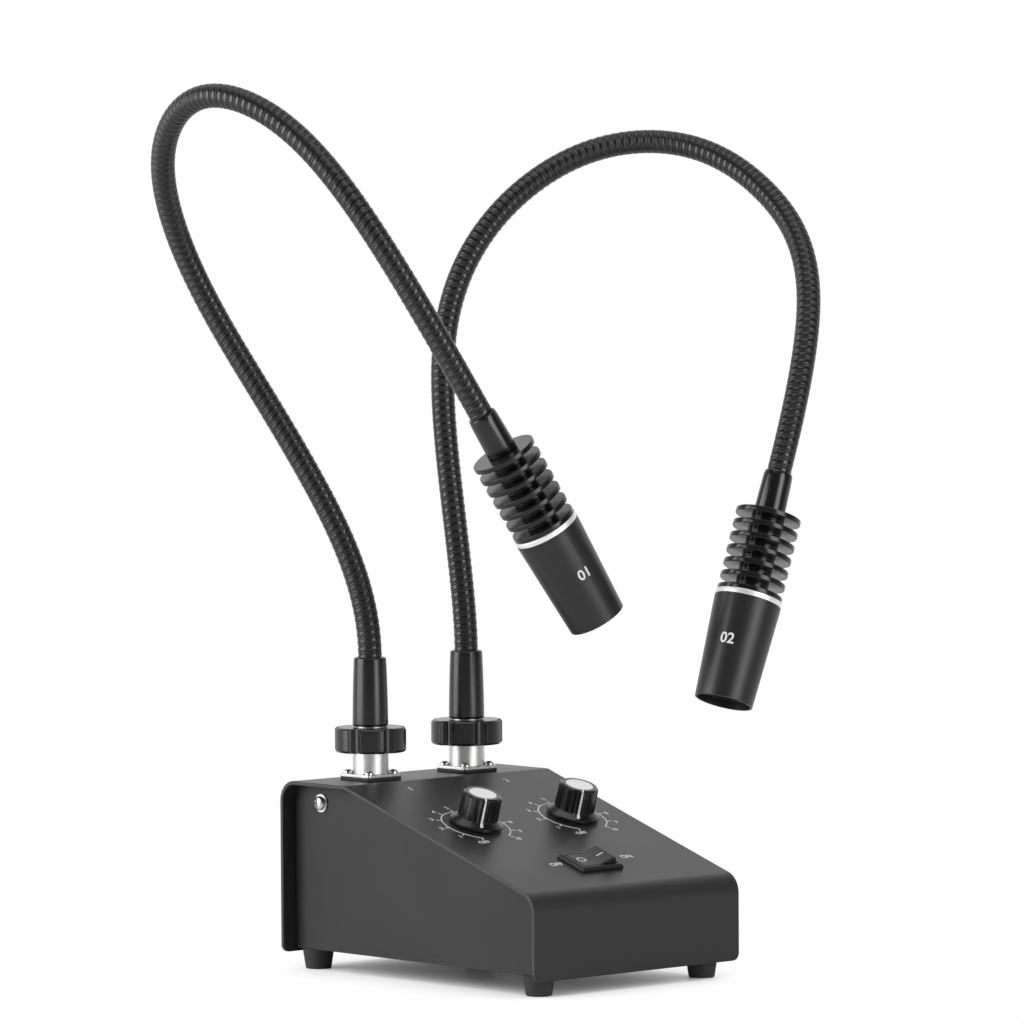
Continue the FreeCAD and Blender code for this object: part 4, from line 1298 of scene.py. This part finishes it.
class ScrewRow(Tree):
    """Geometry tree that sets a screw at the corners of a square plate."""

    FIRST_TURN = 0.3
    TURN = 0.9

    def draw(self) -> Wire:
        """Place the screws, each turned a little further than the last.

        Returns:
            The four screws, as instances.
        """
        pen = self.pen
        screw = self.input("Screw", "Object")
        side = self.input("Reach", "Float") * 2.0
        lift = self.input("Lift", "Float")
        square = pen.value("GeometryNodeMeshGrid",
                           feeds={"Size X": side, "Size Y": side, "Vertices X": 2, "Vertices Y": 2})
        offset = pen.value("ShaderNodeCombineXYZ", feeds={"Z": lift})
        raised = self.changed("SetPosition", square, {"Offset": offset})
        model = pen.value("GeometryNodeObjectInfo", "Geometry", feeds={"Object": screw})
        angle = pen.value("GeometryNodeInputIndex") * self.TURN + self.FIRST_TURN
        turn = pen.value("ShaderNodeCombineXYZ", feeds={"Z": angle})
        return pen.value("GeometryNodeInstanceOnPoints",
                         feeds={"Points": raised, "Instance": model, "Rotation": turn})


class WoundTube(Tree):
    """Geometry tree that winds a tube along a curve, each turn a narrow band and a wide one."""

    SPLIT = 4 / 14
    DROP = 0.1
    FLATNESS = 6.0
    WELD = 2e-6

    def draw(self) -> Wire:
        """Roll a grid to the tube and press its grooves.

        Returns:
            The tube, with its crests in the attribute "crest".
        """
        pen = self.pen
        route = pen.out(self.entry, "Geometry")
        turns, radius, groove = (self.input(name, "Float") for name in ("Turns", "Radius", "Groove"))
        steps, sides, first, rows = (self.input(name, "Int")
                                     for name in ("Steps", "Sides", "First Row", "Rows"))
        columns = sides + 1
        grid = pen.value("GeometryNodeMeshGrid", feeds={"Vertices X": rows, "Vertices Y": columns})
        number = pen.value("GeometryNodeInputIndex")
        row = pen.math("FLOOR", (number + 0.25) / columns)
        around = (number - row * columns) / sides
        row_share = (row + first) / steps
        along = (row_share + around) / turns
        held = pen.clamped(along)
        sample = pen.node("GeometryNodeSampleCurve", {"mode": "FACTOR", "use_all_curves": True},
                          {"Curves": route, "Factor": held})
        tangent, normal = pen.out(sample, "Tangent"), pen.out(sample, "Normal")
        length = pen.value("GeometryNodeCurveLength", feeds={"Curve": route})
        centre = pen.vector("ADD", pen.out(sample, "Position"),
                            pen.scaled(tangent, (along - held) * length))
        third = pen.vector("CROSS_PRODUCT", tangent, normal)
        turn = around * (2 * math.pi)
        phase = pen.math("FRACT", row_share + 0.001)
        inner = pen.math("LESS_THAN", phase, self.SPLIT - 0.01)
        wide = (phase - self.SPLIT) / (1.0 - self.SPLIT)
        across = wide + inner * (phase / self.SPLIT - wide)
        fold = pen.math("ABSOLUTE", across * 2.0 - 1.0)
        crest = (1.0 - fold ** self.FLATNESS) * (1.0 - inner * self.DROP)
        reach = radius - groove * (1.0 - crest)
        spoke = pen.vector("ADD", pen.scaled(normal, pen.math("COSINE", turn)),
                           pen.scaled(third, pen.math("SINE", turn)))
        position = pen.vector("ADD", centre, pen.scaled(spoke, reach))
        moved = self.changed("SetPosition", grid, {"Position": position})
        stored = self.changed("StoreNamedAttribute", moved, {"Name": "crest", "Value": crest},
                              {"data_type": "FLOAT", "domain": "POINT"})
        welded = self.changed("MergeByDistance", stored, {"Distance": self.WELD})
        return self.changed("SetShadeSmooth", welded)


@dataclass
class Gooseneck:
    """Wound neck from the ferrule to the lamp head. Lengths in millimetres."""

    side: Side
    poles: tuple[tuple[float, float, float], ...]
    length: float = 442.0
    width: float = 9.3
    groove: float = 0.45
    ribs: int = 145
    steps: int = 14
    sides: int = 36
    spans: int = 6
    turns_below: int = 2
    foot: float = 120.9
    reach: float = 26.0
    last_before: float = 14.0
    last_after: float = 1.2

    def pole(self, number: int) -> Vector:
        """Place of one of the curve's poles, in metres."""
        start = Vector((self.side.socket, LAYOUT.case_depth / 2 - LAYOUT.socket_back, self.foot))
        return (start + Vector(self.poles[number]) * self.length) * MM

    def route(self) -> bpy.types.Object:
        """Lay the neck's middle line as one smooth curve.

        Returns:
            The curve's object.
        """
        curve = bpy.data.curves.new(f"route_{self.side.word}", "CURVE")
        curve.dimensions = "3D"
        spline = curve.splines.new("NURBS")
        spline.points.add(len(self.poles) - 1)
        for number, point in enumerate(spline.points):
            point.co = (*self.pole(number), 1.0)
        spline.order_u = 4
        spline.use_endpoint_u = True
        spline.resolution_u = 48
        return holder_of(curve, f"route_{self.side.word}")

    def sampled(self) -> list[tuple[Vector, Vector]]:
        """Measure along the neck.

        Returns:
            The point and the direction at every half span.
        """
        mesh = baked(self.route())
        points = [vert.co.copy() for vert in mesh.vertices]
        bpy.data.meshes.remove(mesh)
        runs = [0.0]
        for one, two in zip(points, points[1:]):
            runs.append(runs[-1] + (two - one).length)
        result = []
        for number in range(2 * self.spans + 1):
            goal = runs[-1] * number / (2 * self.spans)
            at = next((place for place, run in enumerate(runs) if place and run >= goal), len(runs) - 1)
            share = (goal - runs[at - 1]) / (runs[at] - runs[at - 1])
            before, after = points[at - 1], points[at]
            result.append((before.lerp(after, share), (after - before).normalized()))
        return result

    def end(self) -> tuple[Vector, Vector]:
        """Give the end of the neck and its direction there."""
        return self.pole(-1), (self.pole(-1) - self.pole(-2)).normalized()

    def row(self, half_spans: int) -> int:
        """Row of the winding at a number of half spans from the neck's foot."""
        return round(self.ribs * self.steps * half_spans / (2 * self.spans))

    def wound(self, first: int, last: int) -> Form:
        """Wind the rows from one to another, with both ends closed.

        Args:
            first: The first row.
            last: The last row.

        Returns:
            The form.
        """
        form = form_of(WoundTube.run(self.route(), Stock.NECK, {
            "Turns": float(self.ribs), "Steps": self.steps, "Sides": self.sides, "First Row": first,
            "Rows": last - first + 1, "Radius": self.width / 2 * MM, "Groove": self.groove * MM}))
        bmesh.ops.holes_fill(form, edges=form.edges, sides=0)
        bmesh.ops.recalc_face_normals(form, faces=form.faces)
        for face in form.faces:
            face.smooth = len(face.verts) < 6
        return form

    def build(self) -> None:
        """Wind the neck in pieces that each reach across one hinge, fixed in place."""
        word = self.side.word
        marks = self.sampled()
        for hinge in range(1, self.spans + 1):
            last = hinge == self.spans
            begin = -self.turns_below * self.steps if hinge == 1 else self.row(2 * hinge - 1)
            form = self.wound(begin, self.row(2 * hinge if last else 2 * hinge + 1))
            piece = publish(form, f"neck_{word}_wound_{hinge}", Stock.NECK)
            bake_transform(piece)
            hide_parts(f"neck_{word}_{hinge}")


@dataclass
class LampHead:
    """Collar, finned heat sink, bright ring, barrel, lens and emitter of one lamp. In millimetres."""

    side: Side
    neck: Gooseneck
    sink_edge: float = 0.3
    barrel_edge: float = 0.15
    collar: tuple[Point, ...] = ((2.4, 0.6), (5.3, 0.6), (5.6, 2.6), (6.0, 17.45), (2.4, 17.45))
    collar_rounding: float = 0.6
    ring_bore: float = 21.2
    ring_length: float = 2.0
    ring_end: float = 52.35
    ring_rounding: float = 0.2
    mouth: float = 92.35
    ring_width: float = 25.8
    mouth_width: float = 22.3
    emitter_size: tuple[float, float, float] = (5.6, 5.6, 0.3)
    emitter_edge: float = 0.1
    emitter_lift: float = 2.95
    print_height: float = 4.2
    print_thick: float = 0.04
    print_gap: float = 0.01

    def build(self) -> None:
        """Dress the head."""
        word = self.side.word
        body = f"head_{word}"
        self.lathe("collar_form", "head_collar", self.collar, self.collar_rounding, Stock.GLOSS_BLACK)
        stand_in(f"heat_sink_{word}", body, Stock.SINK, self.sink_edge * MM)
        inner, outer, start = self.ring_bore / 2, self.ring_width / 2, self.ring_end - self.ring_length
        ring = ((inner, start), (outer, start), (outer, self.ring_end), (inner, self.ring_end))
        self.lathe("bright_ring", "trim_ring", ring, self.ring_rounding, Stock.RING)
        stand_in(f"head_barrel_{word}", body, Stock.BARREL, self.barrel_edge * MM)
        stand_in(f"lens_{word}", body, Stock.GLASS, 0.0)
        repaint(f"led_board_{word}", Stock.LED_BOARD)
        self.emitter()
        self.number()

    def place(self) -> Matrix:
        """Frame at the neck's end.

        Returns:
            The frame: Z along the beam, X turned towards the camera.
        """
        at, way = self.neck.end()
        view = Vector((-0.67, -0.74, 0.05))
        across = (view - way * view.dot(way)).normalized()
        return Matrix.Translation(at) @ Matrix((across, way.cross(across), way)).transposed().to_4x4()

    def lathe(self, name: str, node: str, profile: Sequence[Point], rounding: float,
              finish: Finish) -> None:
        """Turn one piece of the head about its beam.

        Args:
            name: Start of the piece's name.
            node: Start of the name of the node that it replaces.
            profile: Corners (radius, distance from the neck's end) in millimetres.
            rounding: Radius of its corners in millimetres.
            finish: Its finish.
        """
        word = self.side.word
        form = turned([(out * MM, along * MM) for out, along in profile], rounding * MM, 128)
        mark_creases(form)
        form.transform(self.place())
        publish(form, f"{name}_{word}", finish, f"head_{word}", f"{node}_{word}")

    def emitter(self) -> None:
        """Lay the yellow emitter on its board."""
        word = self.side.word
        form = bmesh.new()
        bmesh.ops.create_cube(form, size=1.0)
        bmesh.ops.scale(form, vec=Vector(self.emitter_size) * MM, verts=form.verts)
        bmesh.ops.bevel(form, geom=form.edges[:], offset=self.emitter_edge * MM, segments=2,
                        affect="EDGES")
        mark_creases(form)
        lift = self.ring_end - self.ring_length + self.emitter_lift
        form.transform(self.place() @ shift(0, 0, lift))
        publish(form, f"emitter_{word}", Stock.PHOSPHOR, f"head_{word}")

    def number(self) -> None:
        """Print the lamp's number on the barrel, wrapped round it."""
        word = self.side.word
        text, at, turn = ("01", 18.6, -19.0) if self.side is Side.LEFT else ("02", 17.7, 23.0)
        form = lettering(text, self.print_height * MM, self.print_thick * MM)
        for step in range(-8, 9):
            geometry = form.verts[:] + form.edges[:] + form.faces[:]
            cut = (step * 0.5 * MM, 0, 0)
            bmesh.ops.bisect_plane(form, geom=geometry, plane_co=cut, plane_no=(1, 0, 0))
        span = self.mouth - self.ring_end
        for vert in form.verts:
            along = at * MM - vert.co.y
            share = along / (span * MM)
            barrel = (self.ring_width * (1 - share) + self.mouth_width * share) / 2
            radius = barrel * MM + vert.co.z + self.print_gap * MM
            angle = math.radians(turn) - vert.co.x / radius
            vert.co = (radius * math.cos(angle), radius * math.sin(angle), self.ring_end * MM + along)
        bmesh.ops.recalc_face_normals(form, faces=form.faces)
        form.transform(self.place())
        publish(form, f"lamp_number_{word}", Stock.INK, f"head_{word}")


# Studio

@dataclass
class Studio:
    """Pale floor, soft light and the camera. The camera's place is in millimetres and degrees."""

    azimuth: float = -42.09
    tilt: float = 3.164
    roll: float = -0.363
    distance: float = 2858.7
    aside: float = 2.322
    height: float = 335.69
    focal_pixels: float = 7453.3
    frame_pixels: float = 1024.0
    sensor: float = 36.0
    front_light: float = 0.10
    back_light: float = 1.0
    floor_radius: float = 6.0
    floor_grey: float = 0.9
    floor_roughness: float = 0.35
    shadow_reach: float = 0.06
    shadow_gain: float = 1.35
    mirror_gain: float = 0.8
    lamp_distance: float = 1.7
    top_lamp_distance: float = 0.25
    aim: float = 0.15

    def build(self) -> None:
        """Set up floor, world, lamps and camera."""
        self.floor()
        self.world()
        self.lamps()
        self.camera()
        bpy.context.scene.view_settings.view_transform = "Standard"

    def axes(self) -> tuple[Vector, Vector, Vector]:
        """Work out how the camera is turned.

        Returns:
            Its right, up and forward directions.
        """
        tilt, roll = math.radians(self.tilt), math.radians(self.roll)
        right, level = ray(self.azimuth), ray(self.azimuth + 90.0)
        ahead = level * math.cos(tilt) - Vector((0, 0, math.sin(tilt)))
        up = right.cross(ahead)
        return (right * math.cos(roll) + up * math.sin(roll),
                up * math.cos(roll) - right * math.sin(roll), ahead)

    def camera(self) -> None:
        """Stand the camera where the photograph was taken from."""
        right, up, ahead = self.axes()
        spot = (ray(self.azimuth - 90.0) * self.distance + ray(self.azimuth) * self.aside
                + Vector((0, 0, self.height))) * MM
        lens = bpy.data.cameras.new("camera")
        lens.sensor_width = self.sensor
        lens.lens = self.focal_pixels / self.frame_pixels * self.sensor
        lens.clip_start, lens.clip_end = 0.05, 50.0
        holder = holder_of(lens, "camera")
        turn = Matrix((right, up, -ahead)).transposed().to_4x4()
        holder.matrix_world = Matrix.Translation(spot) @ turn
        bpy.context.scene.camera = holder

    def floor(self) -> None:
        """Lay a pale floor that keeps the object's shadow on its lit surface, with painted shade from
        ambient occlusion near and under the object.
        """
        form = bmesh.new()
        bmesh.ops.create_circle(form, cap_ends=True, segments=96, radius=self.floor_radius)
        holder = holder_of(mesh_of(form, "floor"), "floor")
        material = bpy.data.materials.new("pale_floor")
        pen = cleared(material)
        grey = (self.floor_grey, self.floor_grey, self.floor_grey, 1.0)
        lit = pen.value("ShaderNodeBsdfPrincipled",
                        feeds={"Base Color": grey, "Roughness": self.floor_roughness})
        glow = pen.value("ShaderNodeEmission", feeds={"Color": (1, 1, 1, 1), "Strength": 1.0})
        place = pen.value("ShaderNodeTexCoord", "Object")
        # Painted shade: ambient occlusion takes the white glow away near and under the object, leaving
        # the darker lit floor there.
        open_sky = pen.value("ShaderNodeAmbientOcclusion", "AO", feeds={"Distance": self.shadow_reach})
        share = pen.math("MINIMUM", open_sky * self.shadow_gain, 1.0)
        glossy = pen.value("ShaderNodeLightPath", "Is Glossy Ray")
        mirrored = glossy * self.behind(pen, place) * self.mirror_gain
        bright = pen.math("MAXIMUM", self.seen(pen) * share, mirrored)
        mix = pen.value("ShaderNodeMixShader", feeds={0: bright, 1: lit, 2: glow})
        pen.node("ShaderNodeOutputMaterial", feeds={"Surface": mix})
        holder.data.materials.append(material)
        holder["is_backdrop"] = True

    @staticmethod
    def seen(pen: NodePen) -> Wire:
        """Give 1 for rays from the camera, straight or through glass, and 0 for others."""
        path = pen.node("ShaderNodeLightPath")
        return pen.math("MAXIMUM", pen.out(path, "Is Camera Ray"), pen.out(path, "Is Transmission Ray"))

    def behind(self, pen: NodePen, way: Wire) -> Wire:
        """Give 0 towards the camera and 1 where a direction or place lies behind the object.

        Args:
            pen: The pen.
            way: The direction or the place, in metres.

        Returns:
            The share, clamped.
        """
        feeds = {0: way, 1: tuple(ray(self.azimuth + 90.0))}
        ahead = pen.value("ShaderNodeVectorMath", "Value", {"operation": "DOT_PRODUCT"}, feeds)
        return pen.clamped(ahead * 1.6 - 0.2)

    def world(self) -> None:
        """Surround the object with soft light, seen white by the camera."""
        world = bpy.data.worlds.new("studio")
        bpy.context.scene.world = world
        pen = cleared(world)
        dim, white = (pen.value("ShaderNodeBackground", feeds={"Color": (1, 1, 1, 1), "Strength": power})
                      for power in (self.front_light, 1.0))
        way = pen.value("ShaderNodeTexCoord", "Generated")
        share = pen.math("MAXIMUM", self.seen(pen), self.behind(pen, way) * self.back_light)
        mix = pen.value("ShaderNodeMixShader", feeds={0: share, 1: dim, 2: white})
        pen.node("ShaderNodeOutputWorld", feeds={"Surface": mix})

    def lamps(self) -> None:
        """Hang a tall soft box at either side and a wide one above."""
        for name, turn, up, size, power, away in (
            ("box_left", -74.0, 0.45, (1.4, 1.6), 34.0, self.lamp_distance),
            ("box_right", 46.0, 0.45, (0.8, 1.6), 20.0, self.lamp_distance),
            ("box_top", 0.0, 1.9, (1.6, 1.6), 12.0, self.top_lamp_distance),
        ):
            lamp = bpy.data.lights.new(name, "AREA")
            lamp.shape = "RECTANGLE"
            lamp.size, lamp.size_y = size
            lamp.energy = power
            holder = holder_of(lamp, name)
            spot = ray(self.azimuth + turn - 90.0) * away + Vector((0, 0, up))
            holder.location = spot
            holder.rotation_mode = "QUATERNION"
            holder.rotation_quaternion = (Vector((0, 0, self.aim)) - spot).to_track_quat("-Z", "Y")
LEFT_ROUTE = (
    (0.000, 0.000, 0.000), (0.000, 0.000, 0.059), (-0.034, 0.040, 0.166), (-0.074, 0.103, 0.278),
    (-0.109, 0.127, 0.360), (-0.164, 0.094, 0.445), (-0.184, 0.013, 0.505), (-0.164, -0.088, 0.475),
    (-0.139, -0.174, 0.377), (-0.076, -0.208, 0.250), (-0.059, -0.213, 0.221),
)
RIGHT_ROUTE = (
    (0.000, 0.000, 0.000), (0.000, 0.000, 0.043), (-0.003, 0.026, 0.184), (0.018, 0.053, 0.296),
    (0.062, 0.039, 0.384), (0.137, -0.006, 0.447), (0.190, -0.090, 0.453), (0.200, -0.181, 0.410),
    (0.184, -0.273, 0.329), (0.101, -0.304, 0.191), (0.091, -0.305, 0.165),
)


def corners() -> list[list[float]]:
    """Give the shown object's lowest and highest corner as plain numbers."""
    return [[float(number) for number in corner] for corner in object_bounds()]


def main() -> None:
    """Build every sub-assembly in order, then the studio."""
    logging.basicConfig(level=logging.INFO, format="%(name)s: %(message)s")
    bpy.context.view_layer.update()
    ControlBox().build()
    PanelPrint().build()
    PowerSwitch().build()
    for side, poles in ((Side.LEFT, LEFT_ROUTE), (Side.RIGHT, RIGHT_ROUTE)):
        Dimmer(side).build()
        NeckMount(side).build()
        neck = Gooseneck(side, poles)
        neck.build()
        LampHead(side, neck).build()
    Studio().build()


if __name__ == "__main__":
    main()
